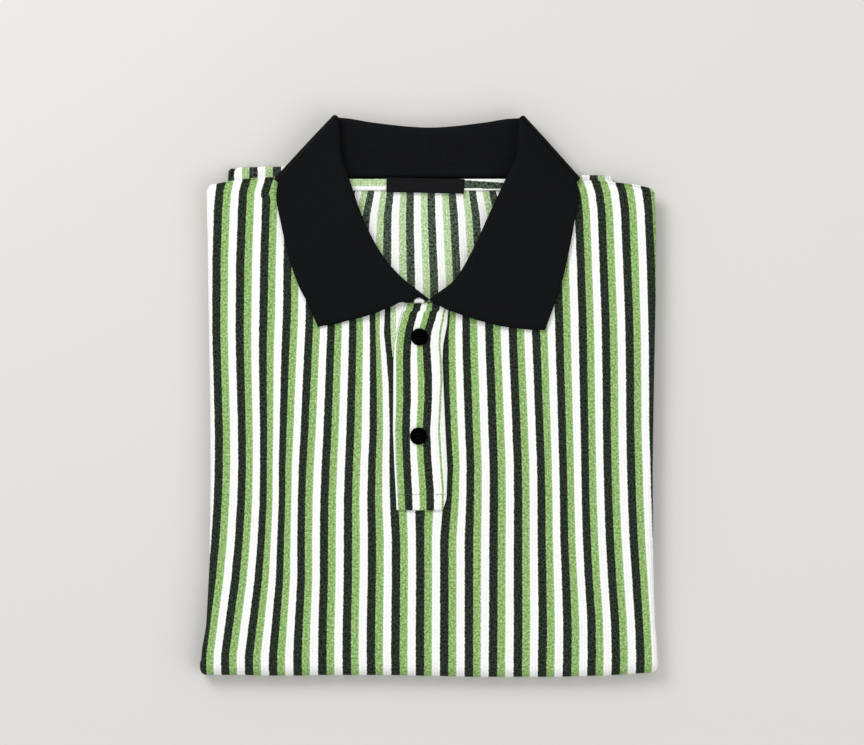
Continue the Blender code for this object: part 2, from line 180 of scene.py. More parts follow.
print("top face at the middle:", round(top_height(0.0, 0.0), 2), "mm")

# %% [markdown]
# ## The outline of the folded shirt
# Folded sides are never quite straight, the shoulders slope, and the neckline is a deep curve.
# These edges could be drawn as Bezier curves. Tables of points are plainer here, because a sheet's
# grid only asks where the edge is at one place, and numpy reads that from a table in one line.

# %% Side folds
SIDE_FOLDS = np.array([
    (-182.0, -149.2, 149.2), (-165.0, -147.9, 148.6), (-150.0, -145.2, 147.3),
    (-110.0, -143.0, 146.1), (-50.0, -142.3, 145.7), (0.0, -142.6, 146.4),
    (60.0, -143.6, 147.6), (100.0, -144.2, 148.1), (132.0, -145.0, 147.0)])
LOWER_SIDE_FOLDS = np.array([
    (-174.3, -149.2, 149.2), (-150.0, -144.4, 146.4), (-110.0, -142.2, 143.6),
    (0.0, -139.0, 135.5), (148.0, -131.0, 119.6)])


def across(table, y):
    """Left and right edge of a table at the height y."""
    return np.interp(y, table[:, 0], table[:, 1]), np.interp(y, table[:, 0], table[:, 2])


print("width at mid height:", round(float(np.ptp(across(SIDE_FOLDS, 0.0))), 1), "mm")

# %% Shoulders and neckline
SHOULDER_SEAM_INSET = 1.2
LEFT_NECK_POINT = -78.4
RIGHT_NECK_POINT = 75.4
BACK_MIDDLE_X = 2.0
BACK_HALF_WIDTH = 138.0
BACK_END_FADE = 3.0
SHOULDERS = np.array([
    (-145.0, 132.3), (-140.4, 137.3), (-130.7, 139.4), (-116.0, 141.4), (-106.0, 142.0),
    (-99.0, 142.2), (-96.0, 139.8), (-79.2, 139.5), (79.2, 139.5), (98.0, 139.6), (106.0, 140.0),
    (119.6, 138.8), (132.6, 137.6), (142.6, 135.4), (145.4, 134.2), (147.0, 132.3)])
FRONT_NECKLINE = np.array([
    (-78.2, 134.0), (-76.7, 130.0), (-70.9, 118.5), (-59.0, 96.0), (-41.0, 74.8),
    (-20.2, 61.5), (-5.2, 56.8), (2.6, 56.8), (17.6, 61.5), (37.0, 74.8), (55.3, 96.0),
    (67.0, 118.5), (73.2, 130.0), (75.2, 134.0)])


def shoulder_y(x):
    return float(np.interp(x, SHOULDERS[:, 0], SHOULDERS[:, 1]))


def clamped(value):
    """The value, held between 0 and 1."""
    return min(1.0, max(0.0, value))


def front_end_y(x):
    """Upper end of the front at x: the shoulder seam, or the neckline between the neck points."""
    if LEFT_NECK_POINT < x < RIGHT_NECK_POINT:
        return float(np.interp(x, FRONT_NECKLINE[:, 0], FRONT_NECKLINE[:, 1]))
    beyond_back = clamped((abs(x - BACK_MIDDLE_X) - BACK_HALF_WIDTH) / BACK_END_FADE)
    return shoulder_y(x) - SHOULDER_SEAM_INSET * (1.0 - beyond_back)


print("neckline from", front_end_y(0.0), "mm at its lowest to the seam at",
      round(front_end_y(LEFT_NECK_POINT - 1.0), 1), "mm")

# %% [markdown]
# ## The bottom fold and the hem
# The bottom fold is round and soft, and hangs lower where fewer layers fill it. Behind the
# shoulders the hem of the lower half sticks out. A cloth simulation could let the fold hang, but
# it would shift the stripes as well. A small table of drops, faded out up the shirt, gives the
# same edge and leaves the rest of the cloth alone.

# %% Bottom fold and hem line
HEM_LINE = np.array([
    (-131.0, 147.9), (-124.0, 148.6), (-110.0, 149.0), (-94.0, 149.3), (80.0, 143.8),
    (112.0, 143.6), (119.6, 143.2)])
# How far the bottom fold hangs below its straight line, across the shirt, and from which height.
BOTTOM_HANG = np.array([
    (-150.0, 0.0), (-120.0, 0.1), (-108.0, 0.5), (-84.0, 0.5), (-70.0, 0.1), (-25.0, 0.1),
    (-10.0, 0.5), (10.0, 0.8), (27.0, 1.3), (85.0, 1.3), (101.0, 0.8), (116.0, 0.4),
    (126.0, -0.2), (137.0, -1.0), (145.0, -1.5), (150.0, -2.2)])
HANG_FROM_Y = -120.0
HANG_LENGTH = 50.0


def eased(value):
    """Goes from 0 to 1 as the value does, with a soft start and a soft end."""
    held = clamped(value)
    return held * held * (3.0 - 2.0 * held)


def hung(x, y):
    """Height y on the shirt once the bottom fold hangs, which fades out further up."""
    hang = float(np.interp(x, BOTTOM_HANG[:, 0], BOTTOM_HANG[:, 1]))
    return y - hang * eased((HANG_FROM_Y - y) / HANG_LENGTH)


def hem_y(x):
    return float(np.interp(x, HEM_LINE[:, 0], HEM_LINE[:, 1]))


print("the bottom fold hangs by up to", BOTTOM_HANG[:, 1].max(), "mm")

# %% [markdown]
# ## Soft creases
# Folded jersey never lies quite flat: it keeps long, shallow creases from its other folds. They
# could be sculpted or simulated, but then nobody could move one. Here each crease is a row of
# numbers: where it starts and stops, how wide it is and how high. Every sheet on top adds the same
# rise to its height, so the placket and the front under it move together.

# %% Creases
CREASE_END_REACH = 1.6
SLOW_WAVE = 0.18
# Start x y, end x y, half width, height.
CREASES = (
    (-112.0, 20.0, -96.0, -120.0, 9.0, -1.1),
    (-92.0, 0.0, -84.0, -110.0, 8.0, 0.7),
    (86.0, -40.0, 82.0, -140.0, 9.0, -0.8),
    (-27.5, 60.0, -26.0, -70.0, 4.5, -0.9),
    (14.5, 52.0, 14.0, -76.0, 4.0, -0.8),
    (-128.0, 120.0, -124.0, 10.0, 8.0, 0.5),
    (112.0, 118.0, 120.0, 30.0, 9.0, -0.6),
    (52.0, 30.0, 58.0, -60.0, 12.0, 0.5),
    (-60.0, 40.0, -52.0, -50.0, 11.0, 0.45),
    (-20.0, -84.0, 14.0, -90.0, 6.0, -0.5),
    (-130.0, -150.0, -60.0, -163.0, 7.0, 0.45),
    (40.0, -160.0, 128.0, -148.0, 8.0, 0.4),
    (0.0, -96.0, 6.0, -160.0, 12.0, 0.35),
)


def crease_rise(x, y):
    """Height that the creases add at a point of the top face."""
    rise = 0.0
    for x0, y0, x1, y1, half, height in CREASES:
        length = math.hypot(x1 - x0, y1 - y0)
        ux, uy = (x1 - x0) / length, (y1 - y0) / length
        along = ((x - x0) * ux + (y - y0) * uy) / length
        side = (x - x0) * -uy + (y - y0) * ux
        beyond = max(0.0, -along, along - 1.0) * length
        rise += height * math.exp(-(side / half) ** 2 - (beyond / (CREASE_END_REACH * half)) ** 2)
    # Two slanting waves keep the cloth between the creases from being quite flat.
    rise += SLOW_WAVE * math.sin(x * 0.061 + y * 0.043) * math.sin(y * 0.052 - x * 0.019 + 1.0)
    return rise


heights = [crease_rise(x, y) for x in range(-140, 141, 10) for y in range(-160, 131, 10)]
print("creases from", round(min(heights), 2), "to", round(max(heights), 2), "mm")

# %% Faces with their creases
CREASES_END_Y = 138.0
CREASES_PAST_FOLD = 6.0
CREASE_FADE = 12.0
BACK_FLAT_FROM_Y = 134.0
BACK_FADE = 20.0
BACK_SINK = 0.3


def soft_top(x, y):
    """Top face with its creases, which fade towards the folds and the shoulders."""
    left, right = across(SIDE_FOLDS, y)
    inside = min(x - left, right - x, y - BOTTOM_FOLD_Y + CREASES_PAST_FOLD, CREASES_END_Y - y)
    return top_height(x, y) + eased(inside / CREASE_FADE) * crease_rise(x, y)


def soft_back(x, y):
    """Inner face of the back, which looks up inside the neck."""
    fade = clamped((BACK_FLAT_FROM_Y - y) / BACK_FADE)
    # Low ripples, which fade out towards the neck seam.
    wave = 0.25 * math.sin(x * 0.11 + 0.6) + 0.2 * math.sin(x * 0.05 - y * 0.06)
    return top_height(x, y) - CLOTH - GAP + fade * (wave - BACK_SINK)


print("top face with its creases:", round(soft_top(0.0, 0.0), 2), "mm at the middle")

# %% [markdown]
# ## Where the stripes run
# The stripes are knitted in, so on the real shirt they bend with every fold. Straight stripes in a
# shader would be easy, and would miss that. The table gives the middle of every dark stripe at
# sixteen heights up the shirt, measured in the photo's pixels. Between two heights the stripes are
# straight, and the place of a point between two dark stripes is its stripe coordinate: 0 is the
# middle of the first one. It goes into a UV map, with the length up the shirt beside it.

# %% From pixels to millimetres
PIXEL = 0.65
MIDDLE_PIXEL = 429.0
MIDDLE_LINE = 395.5


def photo_x(values):
    return (np.array(values, dtype=float) - MIDDLE_PIXEL) * PIXEL


def photo_y(value):
    return (MIDDLE_LINE - value) * PIXEL


def pixel_at(x):
    return MIDDLE_PIXEL + x / PIXEL


def line_at(y):
    return MIDDLE_LINE - y / PIXEL


print("a pixel is", PIXEL, "mm")

# %% Middles of the dark stripes
# Photo height, and the middles of the dark stripes from left to right.
STRIPE_TABLE = (
    (676, (201.5, 225, 249, 273, 297.8, 322.3, 347, 371.4, 395.8, 419.7, 444.2, 468.7,
           493, 517.8, 541.8, 566.8, 591.3, 615.7, 640.4, 664.5)),
    (655, (202.5, 224.8, 248.8, 272.8, 297.3, 322.2, 346.6, 370.7, 395.2, 420, 444, 469,
           492.8, 517.9, 542.3, 567.4, 591.8, 616, 640.4, 663.9)),
    (620, (206.7, 229.6, 253.4, 276, 298.8, 322.6, 346.9, 370.9, 395.6, 419.9, 444.2, 468.9,
           493.2, 518.1, 542.7, 567.4, 591.5, 614.8, 638.9, 661.8)),
    (580, (211.6, 235.1, 258.3, 279.3, 301, 323.7, 347.8, 371.7, 395.9, 420.2, 444.3, 468.9,
           493.3, 518, 542.2, 566, 588.8, 612.1, 636.4, 659.4)),
    (540, (215.2, 238.9, 261.4, 280.4, 300.8, 323.8, 348, 372, 395.9, 420, 444.2, 468.9,
           493.5, 518, 541.7, 564.3, 586.7, 609.8, 633.8, 657.1)),
    (500, (217.7, 241.2, 263.4, 281.8, 301.2, 324.3, 348, 371.2, 393.7, 419.7, 448, 469.9,
           493.8, 518.2, 541.5, 563.8, 585.5, 608.3, 632, 655.6)),
    (465, (218.7, 242.2, 263.6, 281.8, 302.4, 325.6, 349, 372, 392.8, 419.8, 449.4, 470.2,
           493.6, 517.8, 541, 563, 585, 607.4, 631.1, 654.6)),
    (430, (218.7, 241.8, 263.7, 282.9, 304.4, 327.5, 350.4, 373.6, 393, 419, 447.2, 468.8,
           492.4, 516.5, 539.6, 562.1, 584.4, 606.8, 630.4, 653.2)),
    (385, (217.6, 240.8, 263, 284.2, 306.5, 329.1, 351.6, 373.5, 391.7, 418.6, 445.6, 467.3,
           491, 514.7, 538, 560.8, 583.6, 606.5, 630.2, 653)),
    (355, (216.7, 240, 262.7, 285.1, 307.9, 330.1, 352.4, 373.5, 388.9, 417.5, 445, 466.4,
           489.9, 513.4, 536.9, 559.8, 583.1, 606.2, 629.9, 652.8)),
    (333, (216.2, 239.6, 262.9, 286.1, 309, 331, 352.8, 373.4, 386, 417, 445, 465.8,
           489.2, 512.8, 536, 559.3, 582.7, 605.8, 629.6, 652.7)),
    (315, (216.2, 239.7, 263.4, 287, 309.5, 331.2, 352.6, 372.9, 387.2, 417, 446.4, 465.8,
           488.8, 512.3, 535.3, 558.9, 582.4, 605.3, 629.1, 652.2)),
    (260, (216.4, 240.2, 264.3, 287.5, 310.2, 331.6, 352.7, 373.7, 389, 416.5, 445, 465.5,
           488, 511.3, 533.6, 557.1, 580.8, 603.3, 627, 650.8)),
    (210, (217.9, 242, 265.8, 288.7, 310.9, 331.9, 353, 374, 389.8, 416, 443.4, 465,
           487, 510.2, 532.3, 555.2, 578.7, 601.5, 625, 648.6)),
    (192, (219.3, 242.9, 266.5, 290.3, 312.3, 333.3, 354.3, 374.7, 390.5, 416, 442.3, 463.7,
           485.7, 508, 530, 553, 576.4, 599, 622.5, 646.6)),
    (176, (222.5, 247.6, 272, 295, 317, 338, 358, 377, 392, 416, 441, 461,
           482, 503, 525, 547, 570, 594, 616.6, 641)),
)
STRIPE_Y = np.array([photo_y(row[0]) for row in STRIPE_TABLE])
STRIPE_X = np.array([photo_x(row[1]) for row in STRIPE_TABLE])
print("stripes:", STRIPE_X.shape[1], "at", STRIPE_X.shape[0], "heights")

# %% Stripe coordinate
PITCH = 16.0
SEAM_STEP_FROM = -112.0
SEAM_STEP_Y = 129.8
SEAM_STEP = 1.1
SEAM_STEP_START = 3.0
WHITE_LIMIT = -0.49


def among_darks(x, y, heights, middles):
    """Place of x among the dark stripes at the height y: whole numbers are their middles."""
    line = np.array([np.interp(y, heights, middles[:, k]) for k in range(middles.shape[1])])
    if x < line[0]:
        return (x - line[0]) / (line[1] - line[0])
    if x > line[-1]:
        return len(line) - 1 + (x - line[-1]) / (line[-1] - line[-2])
    return float(np.interp(x, line, np.arange(len(line))))


def stripe_at(x, y):
    """Stripe coordinate of a point on the front."""
    if SEAM_STEP_FROM < x < 0.0 and y > SEAM_STEP_Y:
        x += SEAM_STEP * min(1.0, (x - SEAM_STEP_FROM) / SEAM_STEP_START)
    return max(WHITE_LIMIT, among_darks(x, y, STRIPE_Y, STRIPE_X))


print("stripe coordinate at the middle:", round(stripe_at(0.0, 0.0), 2))

# %% [markdown]
# ## A helper for node trees
# A knit needs a dozen nodes, and adding each one by hand in the editor can't be repeated. In a
# script every node takes several lines, so one helper adds a node, sets it up and joins its inputs
# in a single call. A second one makes a colour ramp from a short list of places and colours.

# %% Node helpers
def cloth_tree(name, roughness, gloss):
    """A material with its shader, and helpers that add a node and join it up."""
    made = bpy.data.materials.new(name)
    made.use_nodes = True
    tree = made.node_tree
    shader = tree.nodes["Principled BSDF"]
    shader.inputs["Roughness"].default_value = roughness
    shader.inputs["Specular IOR Level"].default_value = gloss

    def node(kind, inputs=None, **settings):
        added = tree.nodes.new(kind)
        for key, value in settings.items():
            setattr(added, key, value)
        for key, value in (inputs or {}).items():
            if isinstance(value, bpy.types.NodeSocket):
                tree.links.new(value, added.inputs[key])
            else:
                added.inputs[key].default_value = value
        return added

    return made, tree, shader, node


def ramp(node, factor, stops):
    """A colour ramp over a factor, with its stops as place and colour."""
    added = node("ShaderNodeValToRGB", {"Fac": factor})
    elements = added.color_ramp.elements
    while len(elements) < len(stops):
        elements.new(0.5)
    for element, (place, colour) in zip(elements, stops):
        element.position = place
        element.color = (*colour, 1.0)
    return added.outputs["Color"]


print("helpers ready")

# %% [markdown]
# ## Striped pique
# Pique is knitted in small staggered cells, so its face is grainy, and the edge of a stripe is
# rough because the yarns overlap there. A photo of knit could be laid on, but it would repeat and
# blur. Nodes stay sharp: a colour ramp over the stripe coordinate, fine noise that moves its edges
# and lightens the green and the dark yarn, and for the bump a brick pattern with one knitted cell
# a brick. The fine noise and the upright wales also lift the bump, and their dips are painted darker
# as shade. All of it reads the piece's own UV map, so it bends with the cloth.

# %% Stripes with rough edges
DARK_HALF = 0.178
GREEN_END = 0.49
EDGE = 0.010
EDGE_WANDER = 0.07
FUZZ_SCALE = 14.0


def stripe_ramp(node, fraction, white, green, dark):
    """One colour a stripe over the stripe coordinate, with short soft steps between them."""
    dark_end = 2.0 * DARK_HALF
    green_end = GREEN_END + DARK_HALF
    return ramp(node, fraction, (
        (0.0, white), (EDGE, dark), (dark_end - EDGE, dark), (dark_end + EDGE, green),
        (green_end - EDGE, green), (green_end + EDGE, white), (1.0, white)))


def rough_fraction(node, place, across_stripes):
    """Place within one repeat of dark, green and white, with edges that wander a little."""
    fuzz = node("ShaderNodeTexNoise", {"Vector": place, "Scale": FUZZ_SCALE, "Detail": 1.0})
    shift = node("ShaderNodeMath", {0: fuzz.outputs["Fac"], 1: EDGE_WANDER,
                                    2: DARK_HALF - 0.5 * EDGE_WANDER}, operation="MULTIPLY_ADD")
    moved = node("ShaderNodeMath", {0: across_stripes, 1: shift.outputs[0]}, operation="ADD")
    return node("ShaderNodeMath", {0: moved.outputs[0]}, operation="FRACT").outputs[0]


print("share of the repeat that is dark:", round(2.0 * DARK_HALF, 2))

# %% Flecked yarn and painted shade
GRAIN_SCALE = 11.0
PATCH_SCALE = 3.0
# Deep and light colour by the grain: real flecks, and painted shade in the grain's dips.
FLECKS_AND_SHADE = ((0.39, (0.0, 0.0, 0.0)), (0.63, (1.0, 1.0, 1.0)))
DRIFT = ((0.3, (0.94, 0.955, 0.92)), (0.7, (1.0, 1.0, 1.0)))


def yarn_colour(node, place, fraction, grain, deep, light):
    """Colour of the yarn: flecked, deep in the grain's dips as painted shade, light on its tops, and
    slowly drifting.
    """
    # The grain also lifts the bump, so the deep colour in its dips is partly painted shade.
    flecks_and_shade = ramp(node, grain, FLECKS_AND_SHADE)
    colour = node("ShaderNodeMix", {"Factor": flecks_and_shade, 6: stripe_ramp(node, fraction, *deep),
                                    7: stripe_ramp(node, fraction, *light)}, data_type="RGBA")
    patch = node("ShaderNodeTexNoise", {"Vector": place, "Scale": PATCH_SCALE, "Detail": 2.0})
    drift = ramp(node, patch.outputs["Fac"], DRIFT)
    worn = node("ShaderNodeMix", {"Factor": 1.0, 6: colour.outputs[2], 7: drift},
                data_type="RGBA", blend_type="MULTIPLY")
    return worn.outputs[2]


print("flecks between", FLECKS_AND_SHADE[0][0], "and", FLECKS_AND_SHADE[1][0], "of the grain")

# %% Knitted relief
WALES = 9.0
CELLS = 15.0
CELL_ROW = 0.9
CELL_GROOVE = 0.20
GRAIN_RELIEF = 0.45
WALE_RELIEF = 0.25


def knit_relief(node, place, grain, wales, depth):
    """Bump of the knit: staggered cells, the yarn's grain, and the upright wales."""
    turned_place = node("ShaderNodeMapping", {"Vector": place, "Rotation": (0.0, 0.0, math.pi / 2),
                                              "Scale": (CELLS, CELLS, 1.0)})
    cells = node("ShaderNodeTexBrick", {"Vector": turned_place.outputs["Vector"], "Scale": 1.0,
                                        "Mortar Size": CELL_GROOVE, "Mortar Smooth": 1.0,
                                        "Brick Width": 1.0, "Row Height": CELL_ROW})
    low_grain = node("ShaderNodeMath", {0: grain, 1: GRAIN_RELIEF}, operation="MULTIPLY")
    knitted = node("ShaderNodeMath", {0: low_grain.outputs[0], 1: cells.outputs["Fac"]},
                   operation="SUBTRACT")
    relief = node("ShaderNodeMath", {0: wales, 1: WALE_RELIEF, 2: knitted.outputs[0]},
                  operation="MULTIPLY_ADD")
    bump = node("ShaderNodeBump", {"Height": relief.outputs[0], "Strength": 0.4,
                                   "Distance": depth * MM})
    return bump.outputs["Normal"]


print("a knitted cell is", round(PITCH / CELLS, 2), "mm")

# %% The striped finishes
# How much darker the colour is painted between the wales, as their shade.
WALE_PAINTED_SHADE = 0.07
KNIT_ROUGHNESS, KNIT_GLOSS = 0.9, 0.12
WHITE_DEEP, WHITE_LIGHT = (0.86, 0.86, 0.85), (0.94, 0.94, 0.94)


def striped_knit(name, deep, light, cell_depth):
    """Striped pique. deep and light are the white, green and dark yarn in the dips, painted darker as
    shade, and on the tops.
    """
    made, tree, shader, node = cloth_tree(name, KNIT_ROUGHNESS, KNIT_GLOSS)
    place = node("ShaderNodeUVMap", uv_map="cloth").outputs["UV"]
    across_stripes = node("ShaderNodeSeparateXYZ", {0: place}).outputs["X"]
    grain = node("ShaderNodeTexNoise", {"Vector": place, "Scale": GRAIN_SCALE, "Detail": 2.0,
                                        "Roughness": 0.75}).outputs["Fac"]
    fraction = rough_fraction(node, place, across_stripes)
    # The wales lift the bump, and the same wave paints faint shade between them into the colour.
    turns = node("ShaderNodeMath", {0: across_stripes, 1: WALES * 2.0 * math.pi},
                 operation="MULTIPLY")
    wales = node("ShaderNodeMath", {0: turns.outputs[0]}, operation="COSINE").outputs[0]
    wale_shade = node("ShaderNodeMath", {0: wales, 1: WALE_PAINTED_SHADE, 2: 1.0 - WALE_PAINTED_SHADE},
                operation="MULTIPLY_ADD")
    wale_shaded = node("ShaderNodeMix", {"Factor": 1.0, 7: wale_shade.outputs[0],
                                    6: yarn_colour(node, place, fraction, grain, deep, light)},
                  data_type="RGBA", blend_type="MULTIPLY")
    tree.links.new(wale_shaded.outputs[2], shader.inputs["Base Color"])
    tree.links.new(knit_relief(node, place, grain, wales, cell_depth), shader.inputs["Normal"])
    return made


striped = striped_knit("striped_pique",
                       (WHITE_DEEP, (0.13, 0.28, 0.058), (0.001, 0.003, 0.001)),
                       (WHITE_LIGHT, (0.42, 0.61, 0.255), (0.036, 0.051, 0.035)), 0.26)
inside = striped_knit("striped_pique_inside",
                      (WHITE_DEEP, (0.27, 0.44, 0.17), (0.001, 0.004, 0.002)),
                      (WHITE_LIGHT, (0.67, 0.79, 0.54), (0.11, 0.15, 0.105)), 0.30)
faded = striped_knit("striped_pique_faded",
                     (WHITE_DEEP, (0.21, 0.37, 0.12), (0.004, 0.006, 0.005)),
                     (WHITE_LIGHT, (0.54, 0.68, 0.39), (0.065, 0.075, 0.066)), 0.26)
print("materials:", striped.name, inside.name, faded.name)

# %% [markdown]
# ## Black flat knit
# The collar is knitted in one piece as a rib: fine upright ribs, crossed by the courses. Real ribs
# in the mesh would need millions of faces for something barely seen on black. Two wave textures
# over the piece's UV map, which is in millimetres here, bring out both directions in the bump and as
# painted shade in the grooves and painted highlight on the tops, and noise keeps the black from
# looking like paint. The same tree, set finer, is the satin weave of the label.

# %% The black knit
# How dark the grooves are painted as shade, and how bright the rib tops as highlight.
RIB_SHADE, RIB_HIGHLIGHT = 0.4, 2.6


def black_knit(name, colour, gloss, rib, course, depth):
    """Black ribs and courses, with painted shade and highlight. rib and course are the wave scales,
    depth is in millimetres.
    """
    made, tree, shader, node = cloth_tree(name, KNIT_ROUGHNESS, gloss)
    place = node("ShaderNodeUVMap", uv_map="cloth").outputs["UV"]
    ribs = node("ShaderNodeTexWave", {"Vector": place, "Scale": rib, "Distortion": 0.6,
                                      "Detail": 1.0}, bands_direction="X")
    courses = node("ShaderNodeTexWave", {"Vector": place, "Scale": course, "Distortion": 0.8,
                                         "Detail": 1.0}, bands_direction="Y")
    grain = node("ShaderNodeTexNoise", {"Vector": place, "Scale": 1.6, "Detail": 3.0})
    both = node("ShaderNodeMath", {0: ribs.outputs["Fac"], 1: courses.outputs["Fac"]},
                operation="MULTIPLY")
    high = node("ShaderNodeMath", {0: both.outputs[0], 1: grain.outputs["Fac"]}, operation="ADD")
    # The ramp paints shade in the grooves and a highlight on the tops of the bump's relief.
    shade_colour = tuple(RIB_SHADE * part for part in colour)
    highlight_colour = tuple(RIB_HIGHLIGHT * part for part in colour)
    tree.links.new(ramp(node, high.outputs[0], ((0.3, shade_colour), (0.75, colour), (1.0, highlight_colour))),
                   shader.inputs["Base Color"])
    bump = node("ShaderNodeBump", {"Height": high.outputs[0], "Strength": 0.5,
                                   "Distance": depth * MM})
    tree.links.new(bump.outputs["Normal"], shader.inputs["Normal"])
    return made


collar_black = black_knit("black_flat_knit", (0.0040, 0.0043, 0.0048), 0.05, 0.32, 0.28, 0.45)
label_black = black_knit("black_satin_weave", (0.0050, 0.0050, 0.0058), 0.10, 1.2, 1.6, 0.10)
print("materials:", collar_black.name, label_black.name)

# %% [markdown]
# ## One way to make every sheet
# Each cloth piece of the shirt is a thin wall with cut or folded edges. It could be modelled as a
# closed box and bent, but then both faces have to be kept apart at every fold. Here a sheet is an
# open grid of points, row by row, with a UV pair for each, and Solidify gives it the thickness of
# its cloth and closes the rim.

# %% Sheet maker
def cloth_sheet(name, rows, places, thickness, offset, finishes, pick=None):
    """A cloth piece from rows of points in millimetres and rows of UV pairs."""
    height, width = len(rows), len(rows[0])
    points = [tuple(float(value) * MM for value in point) for row in rows for point in row]
    pairs = [pair for row in places for pair in row]
    faces = []
    for row in range(height - 1):
        for column in range(width - 1):
            corner = row * width + column
            faces.append((corner, corner + width, corner + width + 1, corner + 1))
    mesh = bpy.data.meshes.new(name)
    mesh.from_pydata(points, [], faces)
    cloth = mesh.uv_layers.new(name="cloth")
    corners = np.empty(len(mesh.loops), dtype=np.int32)
    mesh.loops.foreach_get("vertex_index", corners)
    cloth.data.foreach_set("uv", np.array(pairs, dtype=np.float32)[corners].ravel())
    for finish in finishes:
        mesh.materials.append(finish)
    if pick is not None:
        for polygon in mesh.polygons:
            polygon.material_index = pick(polygon.index // (width - 1))
    mesh.shade_smooth()
    made = bpy.data.objects.new(name, mesh)
    bpy.context.scene.collection.objects.link(made)
    wall = made.modifiers.new("cloth", "SOLIDIFY")
    wall.thickness = thickness * MM
    wall.offset = offset
    return made


def flat_area(rows):
    """Area of a grid of points, in square metres."""
    grid = np.array(rows, dtype=float) * MM
    one = np.cross(grid[1:, 1:] - grid[:-1, :-1], grid[1:, :-1] - grid[:-1, 1:])
    return float(0.5 * np.linalg.norm(one, axis=2).sum())


def wear(piece, node_name):
    """The piece rides on the shirt and stands for its solid, which is hidden."""
    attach(piece, "root")
    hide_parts(node_name)


print("sheet maker ready")

# %% [markdown]
# ## The front
# On the real shirt one panel makes the whole face: it rolls round both sides, runs down to the
# bottom fold and goes back underneath to the hem. It could be cut flat and folded by a simulation,
# but its folds wouldn't land on the edges in the photo. So the grid is laid straight into its
# folded place. Its columns follow the side folds, so the sheet keeps its edges, and each column
# starts at the shoulder seam or at the neckline.

# %% Section across the front
SIDE_ROLL = 4.0
SIDE_ROLL_END = -70.0
ROLL_TURNS = np.radians(np.linspace(SIDE_ROLL_END, 90.0, 11))
FLAT_STEP = 2.6
FLAT_LEFT, FLAT_RIGHT = -137.0, 141.0
FLAT_COLUMNS = np.linspace(FLAT_LEFT, FLAT_RIGHT, int((FLAT_RIGHT - FLAT_LEFT) / FLAT_STEP))
COLUMNS_AT_Y = 60.0
edge_left, edge_right = across(SIDE_FOLDS, COLUMNS_AT_Y)


def front_section(left, right):
    """Section across the front: x, and distance from the stack's middle."""
    section = [(left + SIDE_ROLL - SIDE_ROLL * math.cos(turn),
                SIDE_ROLL + SIDE_ROLL * math.sin(turn)) for turn in ROLL_TURNS]
    for x in FLAT_COLUMNS:
        share = (x - edge_left) / (edge_right - edge_left)
        section.append((left + share * (right - left), 2.0 * SIDE_ROLL))
    section += [(right - SIDE_ROLL + SIDE_ROLL * math.cos(turn),
                 SIDE_ROLL + SIDE_ROLL * math.sin(turn)) for turn in ROLL_TURNS[::-1]]
    return section


def column_ends():
    """Upper end of every column of the front."""
    reach = [SIDE_ROLL - SIDE_ROLL * math.cos(max(turn, 0.0)) for turn in ROLL_TURNS]
    ends = [front_end_y(edge_left + inset) for inset in reach]
    ends += [front_end_y(x) for x in FLAT_COLUMNS]
    return ends + [front_end_y(edge_right - inset) for inset in reach[::-1]]


print("columns across the front:", len(column_ends()))

# %% Upper half of the front
TOP_ROWS = 120


def upper_half():
    """Rows of points and UV pairs, from the front's upper end down to the bottom fold."""
    ends = column_ends()
    rows, places = [], []
    for row in range(TOP_ROWS):
        share = row / TOP_ROWS
        points, pairs = [], []
        for column, end in enumerate(ends):
            y = end + share * (BOTTOM_FOLD_Y - end)
            x, distance = front_section(*across(SIDE_FOLDS, y))[column]
            rise = (soft_top(x, y) - 2.0 * STACK_MIDDLE) * distance / (2.0 * SIDE_ROLL)
            points.append((x, hung(x, y), STACK_MIDDLE + distance + rise))
            around = 0.0
            if distance < SIDE_ROLL:
                around = (SIDE_ROLL - distance) * (-1.0 if x < 0.0 else 1.0)
            pairs.append((stripe_at(x, y) + around / PITCH, y / PITCH))
        rows.append(points)
        places.append(pairs)
    return rows, places


upper_rows, upper_places = upper_half()
print("upper half:", len(upper_rows), "rows")

# %% Round the bottom fold
FOLD_ROWS = 16
FOLD_LOWEST_Y = -182.0
fold_section = front_section(*across(SIDE_FOLDS, FOLD_LOWEST_Y))
fold_stripes = [stripe_at(x, BOTTOM_FOLD_Y) for x, _ in fold_section]
fold_rows, fold_places = [], []
for row in range(FOLD_ROWS + 1):
    turn = math.pi * row / FOLD_ROWS
    fold_rows.append([(x, hung(x, BOTTOM_FOLD_Y - distance * math.sin(turn)),
                       STACK_MIDDLE + distance * math.cos(turn)) for x, distance in fold_section])
    fold_length = BOTTOM_FOLD_Y - 2.0 * SIDE_ROLL * turn
    fold_places.append([(stripe, fold_length / PITCH) for stripe in fold_stripes])
print("cloth in the bottom fold:", round(BOTTOM_FOLD_Y - fold_length, 1), "mm")

# %% Lower half of the front
LOWER_ROWS = 60
HEM_CORNER = 2.6


def hem_drop(x):
    """The hem's two corners are rounded."""
    inset = min(x - LOWER_SIDE_FOLDS[-1, 1], LOWER_SIDE_FOLDS[-1, 2] - x)
    away = max(0.0, HEM_CORNER - inset)
    return HEM_CORNER - math.sqrt(HEM_CORNER ** 2 - away ** 2)


